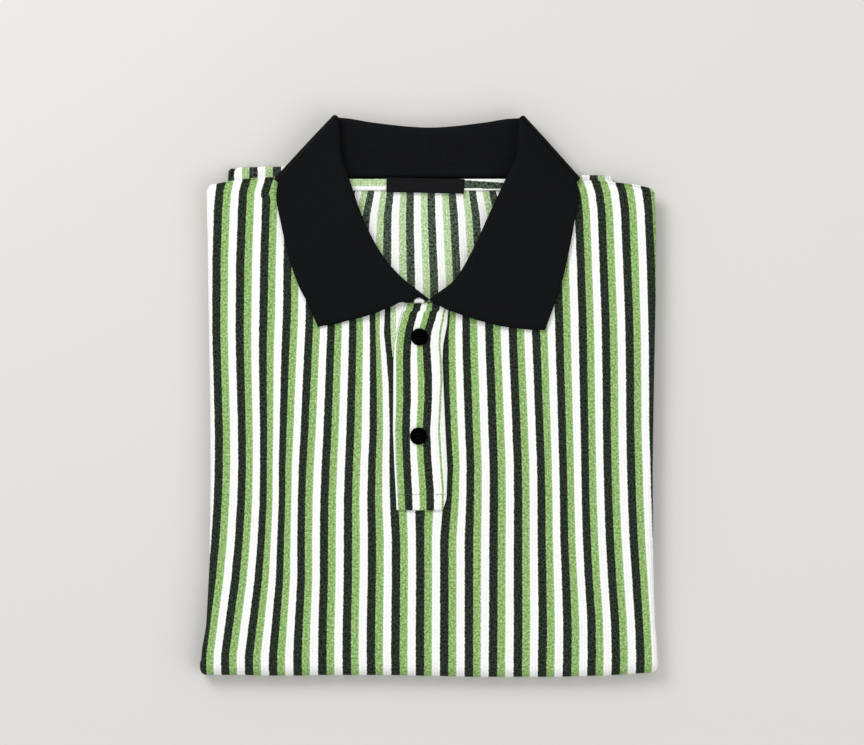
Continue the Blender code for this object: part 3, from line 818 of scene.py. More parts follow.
def lower_half():
    """Rows of points and UV pairs, from the bottom fold back underneath to the hem."""
    hem_section = front_section(*LOWER_SIDE_FOLDS[-1, 1:])
    rows, places = [], []
    for row in range(1, LOWER_ROWS + 1):
        share = row / LOWER_ROWS
        points, pairs = [], []
        for column, stripe in enumerate(fold_stripes):
            hem_x = hem_section[column][0]
            y = BOTTOM_FOLD_Y + share * (hem_y(hem_x) - hem_drop(hem_x) - BOTTOM_FOLD_Y)
            x, distance = front_section(*across(LOWER_SIDE_FOLDS, y))[column]
            points.append((x, hung(x, y), STACK_MIDDLE - distance))
            pairs.append((stripe, (fold_length - (y - BOTTOM_FOLD_Y)) / PITCH))
        rows.append(points)
        places.append(pairs)
    return rows, places


lower_rows, lower_places = lower_half()
print("lower half:", len(lower_rows), "rows")

# %% Lay the front
rows = upper_rows + fold_rows + lower_rows
places = upper_places + fold_places + lower_places
front = cloth_sheet("striped_front", rows, places, CLOTH, -1.0, [striped])
wear(front, "front")

# %% [markdown]
# ## The back
# Inside the open neck the back shows its wrong side, where the stripes run the other way round and
# the yarns look paler and mottled. At the shoulders it comes over the edge and shows its right
# side up to the seam. Two pieces could be made for the two faces, but real cloth has no joint
# there, so one sheet is laid and its last rows take the striped face.

# %% Stripes inside the neck
# Photo height, and the middles of the dark stripes there.
INSIDE_TABLE = (
    (280, (362, 387, 411.2, 434.3, 457, 480, 502)),
    (240, (364, 387.3, 410.2, 432.5, 455.2, 477.6, 500)),
    (214, (366.5, 387.6, 410, 431.5, 454, 475.8, 498)),
    (190, (371.5, 390.5, 410.2, 431.3, 452, 472.3, 492)))
INSIDE_Y = np.array([photo_y(row[0]) for row in INSIDE_TABLE])
INSIDE_X = np.array([photo_x(row[1]) for row in INSIDE_TABLE])


def inside_stripe(x, y):
    """Stripe coordinate inside the neck, where the stripes run from right to left."""
    return -among_darks(x, y, INSIDE_Y, INSIDE_X)


print("inside the neck:", INSIDE_X.shape[1], "dark stripes")

# %% Back
BACK_NECKLINE = np.array([
    (-78.0, 138.6), (-70.0, 140.0), (-55.0, 140.9), (55.0, 140.9), (68.0, 140.0), (76.0, 138.6)])
BACK_END_Y = -168.0
BACK_SIDE_INSET = 4.5
WRAP = 0.5 * (2.0 * CLOTH + GAP)
WRAP_TURNS = np.radians(np.linspace(-90.0, 72.0, 10))
BACK_FLAT_ROWS = 70
RIGHT_SIDE_SHOWS_FROM = BACK_FLAT_ROWS + 2


def back_rows():
    """Rows of points and UV pairs, from the bottom fold up and over the shoulders."""
    rows, places = [], []
    xs = [edge_left + BACK_SIDE_INSET, *FLAT_COLUMNS[1:-1], edge_right - BACK_SIDE_INSET]
    for row in range(BACK_FLAT_ROWS + len(WRAP_TURNS)):
        points, pairs = [], []
        for index, x in enumerate(xs):
            neck = LEFT_NECK_POINT < x < RIGHT_NECK_POINT
            end = shoulder_y(x)
            if neck:
                end = float(np.interp(x, BACK_NECKLINE[:, 0], BACK_NECKLINE[:, 1]))
            centre = end - WRAP
            if row < BACK_FLAT_ROWS:
                y = BACK_END_Y + (centre - BACK_END_Y) * row / BACK_FLAT_ROWS
                if index == 0:
                    x = across(SIDE_FOLDS, y)[0] + BACK_SIDE_INSET
                elif index == len(xs) - 1:
                    x = across(SIDE_FOLDS, y)[1] - BACK_SIDE_INSET
                z = soft_back(x, y) if neck else top_height(x, y) - CLOTH - GAP
                points.append((x, hung(x, y), z - 0.5 * CLOTH))
                pairs.append((inside_stripe(x, y), y / PITCH))
            elif neck:
                y = centre + (row - BACK_FLAT_ROWS) / (len(WRAP_TURNS) - 1) * WRAP
                points.append((x, y, top_height(x, end) - CLOTH - GAP - 0.5 * CLOTH))
                pairs.append((inside_stripe(x, y), y / PITCH))
            else:
                turn = WRAP_TURNS[row - BACK_FLAT_ROWS]
                reach = WRAP - 0.5 * CLOTH
                y = centre + reach * math.cos(turn)
                points.append((x, y, top_height(x, end) - WRAP + reach * math.sin(turn)))
                pairs.append((stripe_at(x, y), y / PITCH))
        rows.append(points)
        places.append(pairs)
    return rows, places


rows, places = back_rows()
back = cloth_sheet("striped_back", rows, places, CLOTH, 0.0, [inside, striped],
                   pick=lambda row: 1 if row >= RIGHT_SIDE_SHOWS_FROM else 0)
wear(back, "back")

# %% [markdown]
# ## The layers between
# The sleeves, the turned-in sides and the lower back lie hidden in the stack. Each could be a sheet
# of its own, but only their edges are seen, above the shoulders and from the side. So one closed
# form stands for them all. Every layer in it has its own rounded fold, and a slow wave keeps the
# folds from being machine straight.

# %% Outline of one layer
FILL_SIDE_INSET = 4.2
FILL_NOSE = 6.4
FILL_CORNER = 2.6
CORNER_TURNS = np.array((22.5, 45.0, 67.5))
SHORT_OF_SHOULDER = 3.0
UPPER_CORNER = 1.03
FOLD_WAVE = 0.25
FOLD_WAVE_ALONG, FOLD_WAVE_UP = 0.05, 3.0
BOTTOM_POINTS, SIDE_POINTS, TOP_POINTS = 24, 30, 40
BOTTOM_FROM, BOTTOM_TO = 0.04, 0.96


def fill_outline(kind, z, inset, end):
    """Plan outline of the layers at height z, counter-clockwise from the bottom left."""
    depth = math.sqrt(max(0.0, FILL_NOSE ** 2 - (z - STACK_MIDDLE) ** 2))
    low = BOTTOM_FOLD_Y - depth + inset + FILL_CORNER
    table = LOWER_SIDE_FOLDS if kind == "lower" else SIDE_FOLDS
    edge = FILL_SIDE_INSET + inset

    def side_x(y, which):
        wave = FOLD_WAVE * math.sin(FOLD_WAVE_ALONG * y + FOLD_WAVE_UP * z)
        return across(table, y)[which] + (edge + wave if which == 0 else -edge - wave)

    def corner(x, y, start):
        return [(x + FILL_CORNER * math.cos(turn), y + FILL_CORNER * math.sin(turn))
                for turn in np.radians(start + CORNER_TURNS)]

    def end_y(x):
        if kind == "lower":
            return hem_y(x) + end
        return min(end, shoulder_y(x * UPPER_CORNER) - SHORT_OF_SHOULDER)

    neck_end = LOWER_SIDE_FOLDS[-1, 0] if kind == "lower" else end
    left_end = end_y(side_x(neck_end, 0)) - inset - FILL_CORNER
    right_end = end_y(side_x(neck_end, 1)) - inset - FILL_CORNER
    outline = [(side_x(low, 0) + share * (side_x(low, 1) - side_x(low, 0)), low - FILL_CORNER)
               for share in np.linspace(BOTTOM_FROM, BOTTOM_TO, BOTTOM_POINTS)]
    outline += [(side_x(y, 1), y) for y in np.linspace(low, right_end, SIDE_POINTS)]
    high_left = side_x(left_end + inset, 0) + FILL_CORNER
    high_right = side_x(right_end + inset, 1) - FILL_CORNER
    outline += corner(high_right, right_end, 0.0)
    outline += [(x, end_y(x) - inset) for x in np.linspace(high_right, high_left, TOP_POINTS)]
    outline += corner(high_left, left_end, 90.0)
    outline += [(side_x(y, 0), y) for y in np.linspace(left_end, low, SIDE_POINTS)]
    return [(x, hung(x, y)) for x, y in outline]


print("points round a layer:", len(fill_outline("upper", STACK_MIDDLE, 0.0, NECK_END_Y)))

# %% Stack the layers
# Which half, low z, high z, and the neck end: for the lower half from the hem line, else a height.
HIDDEN_LAYERS = (
    ("lower", 1.5, 3.1, -2.8), ("lower", 3.2, 4.8, -1.7), ("lower", 4.95, 6.4, 0.3),
    ("lower", 6.5, 8.0, -0.2), ("upper", 8.15, 9.8, 136.5), ("upper", 9.95, 11.4, 126.0),
    ("upper", 11.5, 13.0, 125.0))
LAYER_ROUNDING = ((0.0, 0.9), (0.15, 0.35), (0.35, 0.1), (0.65, 0.1), (0.85, 0.35), (1.0, 0.9))
CROWN_CENTRE_Y = -22.0
CROWN_SHRINKS = (0.85, 0.5)
rings = []
for kind, low, high, end in HIDDEN_LAYERS:
    for share, inset in LAYER_ROUNDING:
        z = low + share * (high - low)
        rings.append([(x, y, z) for x, y in fill_outline(kind, z, inset, end)])
top_ring = rings[-1]
for shrink in CROWN_SHRINKS:
    ring = []
    for x, y, _ in top_ring:
        y = CROWN_CENTRE_Y + (y - CROWN_CENTRE_Y) * shrink
        ring.append((x * shrink, y, top_height(x * shrink, y) - 2.0 * CLOTH - 2.0 * GAP))
    rings.append(ring)
count = len(rings[0])
points = [tuple(value * MM for value in point) for ring in rings for point in ring]
faces = [tuple(range(count - 1, -1, -1))]
for level in range(len(rings) - 1):
    for index in range(count):
        following = (index + 1) % count
        faces.append((level * count + index, level * count + following,
                      (level + 1) * count + following, (level + 1) * count + index))
faces.append(tuple(range((len(rings) - 1) * count, len(rings) * count)))
print("layers:", len(HIDDEN_LAYERS), "folds,", len(rings), "rings")

# %% Dress the layers
HEM_DARK_LEFT, HEM_DARK_RIGHT = 276.5, 594.3
HEM_PITCH = 23.6


def hem_stripe(x):
    """Stripe coordinate of the hem that sticks out above the shoulders."""
    if x < 0.0:
        return (HEM_DARK_LEFT - pixel_at(x)) / HEM_PITCH
    return (pixel_at(x) - HEM_DARK_RIGHT) / HEM_PITCH


mesh = bpy.data.meshes.new("turned_in_layers")
mesh.from_pydata(points, [], faces)
cloth = mesh.uv_layers.new(name="cloth")
for loop in mesh.loops:
    x, y, z = (value / MM for value in points[loop.vertex_index])
    cloth.data[loop.index].uv = (hem_stripe(x), (y + z) / PITCH)
mesh.materials.append(faded)
mesh.shade_smooth()
layers = bpy.data.objects.new("turned_in_layers", mesh)
bpy.context.scene.collection.objects.link(layers)
wear(layers, "folded_layers")
print("layers:", len(mesh.polygons), "faces")

# %% [markdown]
# ## The collar
# It is one knitted strip: two leaves turned down on top, and behind the neck a stand with its fall
# turned under. It could be bent from a flat strip with a curve modifier, but a leaf is wider than
# its neck seam and would crumple. So a section, from the neck seam over the roll to the outer
# edge, is carried along the strip. The sections are given at a few places, and curves that never
# overshoot join them, so the points of the leaves stay sharp.

# %% Collar tables
# Roll edge x y, neck seam x y, outer edge x y, height of the stand and of the fall at the roll.
LEFT_LEAF = np.array([
    (-0.4, 61.8, -5.0, 60.8, -72.2, 45.2, 20.8, 23.8),
    (-20.2, 77.9, -23.6, 66.8, -79.3, 60.8, 18.8, 23.6),
    (-31.8, 92.0, -41.4, 77.7, -85.2, 72.5, 18.2, 23.4),
    (-43.9, 115.4, -58.6, 99.1, -91.8, 92.6, 17.8, 23.3),
    (-51.2, 136.2, -69.6, 121.2, -96.4, 112.8, 17.6, 23.2),
    (-57.7, 156.4, -75.3, 132.6, -99.3, 128.4, 17.5, 23.0),
    (-59.5, 180.2, -76.2, 139.6, -98.3, 138.5, 17.5, 22.8)])
RIGHT_LEAF = np.array([
    (0.5, 61.8, 3.0, 60.8, 75.4, 42.6, 20.8, 23.8),
    (17.6, 75.1, 20.8, 66.2, 81.9, 60.1, 18.8, 23.6),
    (28.6, 93.3, 38.4, 78.5, 86.5, 74.4, 18.2, 23.4),
    (40.3, 118.6, 54.6, 99.9, 91.0, 93.9, 17.8, 23.3),
    (50.1, 139.4, 65.6, 121.8, 94.3, 111.5, 17.6, 23.2),
    (57.4, 156.3, 71.6, 132.6, 97.0, 127.7, 17.5, 23.0),
    (59.4, 179.8, 73.2, 139.6, 96.0, 138.9, 17.5, 22.8)])
COLLAR_BACK = np.array([
    (-59.5, 180.2, -73.5, 142.2, -98.3, 138.5, 14.5, 10.0),
    (-51.8, 179.4, -62.0, 142.4, -75.0, 134.8, 15.0, 9.8),
    (-35.0, 176.6, -44.0, 142.3, -48.0, 132.8, 16.0, 10.0),
    (0.0, 173.5, 0.0, 142.2, 0.0, 132.0, 16.8, 10.4),
    (33.2, 176.4, 42.0, 142.3, 46.0, 132.8, 16.0, 10.0),
    (50.9, 179.2, 60.0, 142.4, 73.0, 134.8, 15.0, 9.8),
    (59.4, 179.8, 70.8, 142.2, 96.0, 138.9, 14.5, 10.0)])
print("collar sections given:", len(LEFT_LEAF) + len(RIGHT_LEAF) + len(COLLAR_BACK))

# %% Curves between the sections
def smooth_between(given, steps):
    """Rows with steps - 1 more between each two, on curves that never overshoot."""
    given = np.asarray(given, dtype=float)
    change = np.diff(given, axis=0)
    before, after = change[:-1], change[1:]
    total = before + after
    same_way = before * after > 0.0
    inner = np.where(same_way, 2.0 * before * after / np.where(same_way, total, 1.0), 0.0)
    slope = np.concatenate([change[:1], inner, change[-1:]])
    result = []
    for index in range(len(given) - 1):
        for step in range(steps):
            t = step / steps
            result.append((2 * t ** 3 - 3 * t ** 2 + 1) * given[index]
                          + (t ** 3 - 2 * t ** 2 + t) * slope[index]
                          + (3 * t ** 2 - 2 * t ** 3) * given[index + 1]
                          + (t ** 3 - t ** 2) * slope[index + 1])
    result.append(given[-1])
    return result


between = smooth_between([(0.0,), (1.0,), (1.0,)], 4)
print("a curve that never overshoots:", [round(float(value[0]), 2) for value in between])

# %% One section of the collar
COLLAR_CLOTH = 1.8
COLLAR_FALL_UNDER_Z = 11.8
COLLAR_BACK_SEAM_Z = 13.9
LEAF_SEAM_RISE = 0.7
LEAF_EASE = 1.6
LEAF_LIFT = 0.2
STAND_STEPS, BEND_STEPS, FALL_STEPS = 10, 12, 28
LAST_BEND = STAND_STEPS + BEND_STEPS
LEAF_SECTIONS, BACK_SECTIONS = 6, 8


def collar_section(row, on_top):
    """Points across the collar from the neck seam over the roll to the outer edge."""
    roll, neck, edge = row[0:2], row[2:4], row[4:6]
    stand_z, fall_z = row[6], row[7]
    inward = 0.5 * (neck + edge) - roll
    inward = inward / np.linalg.norm(inward)
    bend = 0.5 * abs(fall_z - stand_z)
    centre = roll + bend * inward
    neck_z, edge_z, ease = COLLAR_BACK_SEAM_Z, COLLAR_FALL_UNDER_Z, 1.0
    if on_top:
        neck_z = top_height(*neck) - 0.5 * COLLAR_CLOTH + LEAF_SEAM_RISE
        edge_z = top_height(*edge) + GAP + 0.5 * COLLAR_CLOTH + LEAF_LIFT
        ease = LEAF_EASE
    section = []
    for step in range(STAND_STEPS):
        t = step / STAND_STEPS
        section.append((*(neck + t * (centre - neck)), neck_z + t * (stand_z - neck_z)))
    for step in range(BEND_STEPS + 1):
        turn = math.pi * step / BEND_STEPS
        spot = centre - bend * math.sin(turn) * inward
        section.append((*spot, 0.5 * (stand_z + fall_z) - 0.5 * (fall_z - stand_z) * math.cos(turn)))
    for step in range(1, FALL_STEPS + 1):
        t = step / FALL_STEPS
        spot = centre + t * (edge - centre)
        section.append((*spot, edge_z + (fall_z - edge_z) * (1.0 - t) ** ease))
    return np.array(section)


left_leaf = smooth_between([collar_section(row, True) for row in LEFT_LEAF], LEAF_SECTIONS)
right_leaf = smooth_between([collar_section(row, True) for row in RIGHT_LEAF], LEAF_SECTIONS)
behind = smooth_between([collar_section(row, False) for row in COLLAR_BACK], BACK_SECTIONS)
print("sections:", len(left_leaf), "and", len(right_leaf), "in the leaves,", len(behind), "behind")

# %% [markdown]
# ## The ends of the leaves and the turn at the neck
# A leaf's end edge isn't straight: it sags towards its middle, where the knit is soft. And at the
# sides of the neck the strip turns over from the leaf to the back. The edge could be pulled by
# hand with proportional editing. A table of drops does the same and can be read again. For the
# turn, each point goes half a circle round the middle between leaf and back, tighter at the roll.

# %% Bow the leaves' end edges
# How far each leaf's end edge hangs below a straight line, by its share from the roll outwards.
# At the left one's tip the edge is nicked, and the white end of the placket shows in the nick.
LEFT_BOW = ((0.0, 0.02, 0.035, 0.10, 0.13, 0.18, 0.21, 0.25, 0.30, 0.38, 0.45, 0.56, 0.62, 0.72,
             0.83, 0.92, 1.0),
            (0.0, -0.6, -3.75, -3.65, -1.4, -1.45, -2.9, -2.85, -1.7, -0.8, 0.3, 0.9, 1.3, 1.0,
             1.6, 0.9, 0.6))
RIGHT_BOW = ((0.0, 0.06, 0.12, 0.2, 0.3, 0.4, 0.5, 0.6, 0.7, 0.8, 0.9, 1.0),
             (0.0, 1.7, 3.2, 3.8, 4.4, 5.05, 5.0, 5.05, 4.2, 3.2, 2.0, 0.0))
BOWED_SECTIONS = 6
BOW_FADE = 1.5
for leaf, bow in ((left_leaf, LEFT_BOW), (right_leaf, RIGHT_BOW)):
    for index in range(BOWED_SECTIONS):
        fade = (1.0 - index / BOWED_SECTIONS) ** BOW_FADE
        for step in range(1, FALL_STEPS + 1):
            hang = float(np.interp(step / FALL_STEPS, *bow))
            leaf[index][LAST_BEND + step, 1] -= hang * fade
print("the end edges hang by up to", max(LEFT_BOW[1]), "and", max(RIGHT_BOW[1]), "mm")

# %% Turn at the sides of the neck
FOLD_TURNS = np.radians(np.linspace(15.0, 165.0, 11))
TURN_TIGHTNESS = 0.45


def collar_turn(leaf_end, back_end, side):
    """Sections that carry the collar round the neck side, from the leaf to the back."""
    along = leaf_end[-1][:2] - leaf_end[STAND_STEPS][:2]
    along = along / np.linalg.norm(along)
    outward = np.array((along[1], -along[0])) if side == "left" else np.array((-along[1], along[0]))
    half = 0.5 * (leaf_end - back_end)
    middle = 0.5 * (leaf_end + back_end)
    looseness = np.interp(np.arange(len(half)), (LAST_BEND, len(half) - 1), (TURN_TIGHTNESS, 1.0))
    reach = np.abs(half[:, 2:3]) * looseness[:, None]
    sections = []
    for turn in FOLD_TURNS:
        section = middle + half * math.cos(turn)
        section[:, :2] += math.sin(turn) * reach * outward
        sections.append(section)
    return sections


sections = list(left_leaf)
sections += collar_turn(left_leaf[-1], behind[0], "left")
sections += list(behind)
sections += collar_turn(right_leaf[-1], behind[-1], "right")[::-1]
sections += list(right_leaf)[::-1]
print("sections round the whole collar:", len(sections))

# %% Lay the collar
middle_line = [section[STAND_STEPS] for section in sections]
travel = np.concatenate([[0.0], np.cumsum(np.linalg.norm(np.diff(middle_line, axis=0), axis=1))])
places = []
for section, start in zip(sections, travel):
    steps = np.linalg.norm(np.diff(section, axis=0), axis=1)
    reach = np.concatenate([[0.0], np.cumsum(steps)])
    places.append([(start, length) for length in reach])
collar = cloth_sheet("black_collar", sections, places, COLLAR_CLOTH, 0.0, [collar_black])
wear(collar, "collar")

# %% [markdown]
# ## The placket
# The placket is a folded strip, sewn over the slit below the neck, and it is cut with its own run
# of stripes. It could be painted on the front, but it casts a fine shadow and the buttons sit on
# it. So it is a sheet of its own, a little thicker than the front. Its edges are turned under,
# which makes them soft and a little lower, and its white upper end stands up between the leaves.

# %% Stripes of the placket
# Photo height, the middles of the strip's two dark stripes, and the light fold at its right.
PLACKET_STRIPES = np.array((
    (301, 418.5, 436.8, 445.0), (310.6, 416.2, 435.4, 444.4), (312.2, 414.0, 433.4, 443.6),
    (320, 411.9, 431.6, 442.5), (326, 410.2, 429.5, 441.3), (333, 408.7, 427.6, 440.1),
    (345, 407.3, 426.5, 439.3), (360, 406.8, 427.3, 440.4), (380, 407.0, 428.3, 441.2),
    (400, 407.1, 428.3, 440.2), (430, 406.0, 426.4, 438.9), (460, 406.8, 427.7, 440.7),
    (490, 408.3, 430.1, 442.7), (512, 409.1, 430.5, 442.2)))
DARK_EDGE = 3.9
FIRST_REACH = 20.0
WHITE_REACH = 4.0
PLACKET_SLOPE = 0.047
WHITE_AFTER_DARK = -1.37
PALE_LINE = 0.20
PALE_LINE_HALF = 1.7


def placket_stripe(x, y):
    """Stripe coordinate on the placket, whose right edge is a white fold with one pale line."""
    line, pixel = line_at(y), pixel_at(x)
    first, second, fold = (np.interp(line, PLACKET_STRIPES[:, 0], PLACKET_STRIPES[:, side])
                           for side in (1, 2, 3))
    edges = (first - DARK_EDGE - FIRST_REACH, first - DARK_EDGE, first + DARK_EDGE,
             second - DARK_EDGE, second + DARK_EDGE, second + DARK_EDGE + WHITE_REACH)
    stripe = np.interp(pixel, edges, (DARK_HALF + FIRST_REACH * PLACKET_SLOPE, DARK_HALF, -DARK_HALF,
                                      DARK_HALF - 1.0, -DARK_HALF - 1.0, WHITE_AFTER_DARK))
    if stripe > WHITE_AFTER_DARK:
        return float(stripe)
    return WHITE_AFTER_DARK - PALE_LINE * math.exp(-((pixel - fold) / PALE_LINE_HALF) ** 2)


print("stripe coordinates across the placket:",
      [round(placket_stripe(x, 0.0), 2) for x in (-20.0, -10.0, 0.0, 8.0)])

# %% Face of the placket
PLACKET_CLOTH = 1.8
PLACKET = np.array([
    (58.6, -15.3, 12.6), (53.0, -17.6, 12.0), (46.0, -19.5, 11.5), (33.5, -22.1, 9.1),
    (23.0, -22.8, 8.5), (-22.4, -23.1, 10.4), (-48.0, -22.1, 11.7), (-67.0, -21.1, 11.1),
    (-74.4, -20.8, 8.8)])
PLACKET_LIFT = 0.1
TURNED_EDGE, TURNED_DROP = 3.5, 0.35
TURNED_END, TURNED_END_START = 3.0, 0.2
SEAM_LINE, SEAM_HALF, SEAM_DEPTH = 311.3, 0.9, 0.25


def placket_edges(y):
    """Left and right edge of the placket at the height y."""
    left = float(np.interp(-y, -PLACKET[:, 0], PLACKET[:, 1]))
    right = float(np.interp(-y, -PLACKET[:, 0], PLACKET[:, 2]))
    return left, right


def placket_face(x, y):
    """Height of the placket's outer face: its edges are turned under and lie a little lower."""
    left, right = placket_edges(y)
    near = min(x - left, right - x)
    end = max(0.0, (y - PLACKET[-1, 0]) / TURNED_END + TURNED_END_START)
    turned_share = min(1.0, max(0.0, near / TURNED_EDGE), end)
    seam = SEAM_DEPTH * math.exp(-((y - photo_y(SEAM_LINE)) / SEAM_HALF) ** 2)
    lift = GAP + PLACKET_CLOTH + PLACKET_LIFT
    return soft_top(x, y) + lift - TURNED_DROP * (1.0 - turned_share) ** 2 - seam


print("placket width:", round(float(np.ptp(placket_edges(0.0))), 1), "mm")

# %% Lay the placket
PLACKET_TOP_Y = 60.6
PLACKET_COLUMNS, PLACKET_ROWS = 51, 150
# The strip's white end stands up like a tongue: its middle, half width, rise and height.
TONGUE_MIDDLE, TONGUE_HALF, TONGUE_RISE, TONGUE_Z = -6.4, 3.2, 3.0, 22.3
TONGUE_ROWS = (1.0, 0.8, 0.6, 0.4, 0.2, 0.03)
TONGUE_SLOPE = 4.0
LEAST_RISE = 0.06
rows, places = [], []
for share in TONGUE_ROWS:
    points, pairs = [], []
    for x in np.linspace(*placket_edges(PLACKET_TOP_Y), PLACKET_COLUMNS):
        rise = TONGUE_RISE * math.sqrt(max(0.0, 1.0 - ((x - TONGUE_MIDDLE) / TONGUE_HALF) ** 2))
        face = placket_face(x, PLACKET_TOP_Y)
        z = face + (TONGUE_Z - face) * min(1.0, rise) * min(1.0, TONGUE_SLOPE * share)
        points.append((x, PLACKET_TOP_Y + share * max(LEAST_RISE, rise), z - 0.5 * PLACKET_CLOTH))
        stripe = WHITE_AFTER_DARK if rise > 0.0 else placket_stripe(x, PLACKET_TOP_Y)
        pairs.append((stripe, PLACKET_TOP_Y / PITCH))
    rows.append(points)
    places.append(pairs)
for y in np.linspace(PLACKET_TOP_Y, PLACKET[-1, 0], PLACKET_ROWS):
    xs = np.linspace(*placket_edges(y), PLACKET_COLUMNS)
    rows.append([(x, y, placket_face(x, y) - 0.5 * PLACKET_CLOTH) for x in xs])
    places.append([(placket_stripe(x, y), y / PITCH) for x in xs])
placket = cloth_sheet("button_placket", rows, places, PLACKET_CLOTH, 0.0, [striped])
wear(placket, "placket")
placket_area = flat_area(rows)
print("placket:", round(placket_area * 1e4, 1), "square centimetres")

# %% [markdown]
# ## The under placket
# Under the placket lies a second strip, to which the buttons are sewn on the real shirt. It shows
# only as a narrow wedge of the knit's wrong side at the left. The whole strip could be made, but
# hidden cloth only costs faces. So the sheet is just the wedge, and ends at the placket's edge.

# %% Under placket
UNDER_PLACKET = np.array([
    (61.3, 5.4), (59.4, 6.0), (58.4, 9.3), (52.0, 6.8), (42.0, 4.2), (33.0, 1.9), (25.0, 0.5)])
UNDER_GREEN_ENDS = 396.0
UNDER_PITCH = 24.4
UNDER_WHITE_ABOVE = 59.0
UNDER_ROWS, UNDER_COLUMNS = 37, 9
WHITE_MIDDLE = 0.655
rows, places = [], []
for y in np.linspace(UNDER_PLACKET[0, 0], UNDER_PLACKET[-1, 0], UNDER_ROWS):
    width = float(np.interp(-y, -UNDER_PLACKET[:, 0], UNDER_PLACKET[:, 1]))
    right = placket_edges(y)[0] - GAP
    points, pairs = [], []
    for share in np.linspace(1.0, 0.0, UNDER_COLUMNS):
        x = right - share * width
        points.append((x, y, soft_top(x, y) + GAP + 0.5 * CLOTH))
        stripe = GREEN_END + (pixel_at(x) - UNDER_GREEN_ENDS) / UNDER_PITCH
        if y > UNDER_WHITE_ABOVE:
            stripe = WHITE_MIDDLE
        pairs.append((stripe, y / PITCH))
    rows.append(points)
    places.append(pairs)
under_placket = cloth_sheet("under_placket_edge", rows, places, CLOTH, 0.0, [inside])
wear(under_placket, "under_placket")

# %% [markdown]
# ## The neck tape
# A narrow band covers the seam where the collar joins the back. It is cut along the stripes, so it
# shows one stripe along its length: green over white at the left, and dark over white at the
# right. A single colour would be simpler, but this band is in the middle of the open neck. So it
# gets a stripe coordinate of its own, which runs up the shirt instead of across.

# %% Neck tape
TAPE_CLOTH = 1.0
TAPE_PITCH = 26.0
TAPE_LEFT, TAPE_RIGHT = -54.0, 53.0
TAPE_LOW_Y, TAPE_HIGH_Y = 133.4, 140.8
TAPE_ROWS, TAPE_COLUMNS = 25, 80
GREEN_SIDE_ENDS_X = -2.4
GREEN_LINE = 186.0
DARK_AT = 1.0
# The dark band's upper and lower edge: photo height at its left end, and its drop along its width.
BAND_FROM, BAND_WIDTH = 464.0, 36.0
BAND_TOP, BAND_TOP_DROP = 179.7, 2.6
BAND_END, BAND_END_DROP = 187.9, 0.9


def tape_stripe(x, y):
    """Stripe coordinate of the tape, which is cut along the stripes."""
    line = line_at(y)
    if x < GREEN_SIDE_ENDS_X:
        return GREEN_END + (line - GREEN_LINE) / TAPE_PITCH
    along = (pixel_at(x) - BAND_FROM) / BAND_WIDTH
    band_top = BAND_TOP + BAND_TOP_DROP * along
    band_end = BAND_END + BAND_END_DROP * along
    if line < band_top:
        return WHITE_MIDDLE + (line - band_top) / TAPE_PITCH
    if line > band_end:
        return WHITE_MIDDLE + (line - band_end) / TAPE_PITCH
    return DARK_AT + (line - 0.5 * (band_top + band_end)) / TAPE_PITCH


rows, places = [], []
for y in np.linspace(TAPE_LOW_Y, TAPE_HIGH_Y, TAPE_ROWS):
    xs = np.linspace(TAPE_LEFT, TAPE_RIGHT, TAPE_COLUMNS)
    rows.append([(x, y, top_height(x, y) - CLOTH + 0.5 * TAPE_CLOTH) for x in xs])
    places.append([(tape_stripe(x, y), x / PITCH) for x in xs])
neck_tape = cloth_sheet("neck_tape_band", rows, places, TAPE_CLOTH, 0.0, [inside])
wear(neck_tape, "neck_tape")

# %% [markdown]
# ## The label
# A small woven label is sewn over the middle of the tape, a little aslant. It is left bare here. It
# could be part of the tape's mesh with its own material, but it is another cloth and has an edge,
# so it is one more sheet. Its points are given along and up the label, and one helper turns them
# into places on the shirt. The stitches at its ends use the same helper later.

# %% Label
LABEL_CLOTH = 0.6
LABEL_SIZE = (50.6, 9.5)
LABEL_CENTRE = (-2.4, 136.5)
LABEL_TILT = math.radians(-1.3)
LABEL_ROWS, LABEL_COLUMNS = 7, 33


def on_label(u, v):
    """Place on the shirt of a point u along and v up the label, from its middle."""
    return (LABEL_CENTRE[0] + u * math.cos(LABEL_TILT) - v * math.sin(LABEL_TILT),
            LABEL_CENTRE[1] + u * math.sin(LABEL_TILT) + v * math.cos(LABEL_TILT))


rows, places = [], []
for v in np.linspace(-0.5, 0.5, LABEL_ROWS) * LABEL_SIZE[1]:
    points, pairs = [], []
    for u in np.linspace(-0.5, 0.5, LABEL_COLUMNS) * LABEL_SIZE[0]:
        x, y = on_label(u, v)
        points.append((x, y, top_height(x, y) - CLOTH + GAP + TAPE_CLOTH + 0.5 * LABEL_CLOTH))
        pairs.append((u, v))
    rows.append(points)
    places.append(pairs)
label = cloth_sheet("bare_label", rows, places, LABEL_CLOTH, 0.0, [label_black])
wear(label, "label")

# %% [markdown]
# ## Resin and thread
# The buttons are black polished resin, and the seams are spun thread. A plain glossy black would
# do from afar. A faint swirl in colour and bump gives the resin depth close up, and a twist of
# light and shade makes the thread look spun. Neither has a cloth direction to follow, so both
# read the object's own coordinates.

# %% Resin and thread
RESIN_ROUGHNESS, RESIN_GLOSS = 0.3, 0.004
THREAD_ROUGHNESS, THREAD_GLOSS = 0.75, 0.1
SWIRL_SCALE, TWIST_SCALE = 900.0, 2500.0
THREAD_DIM = 0.65


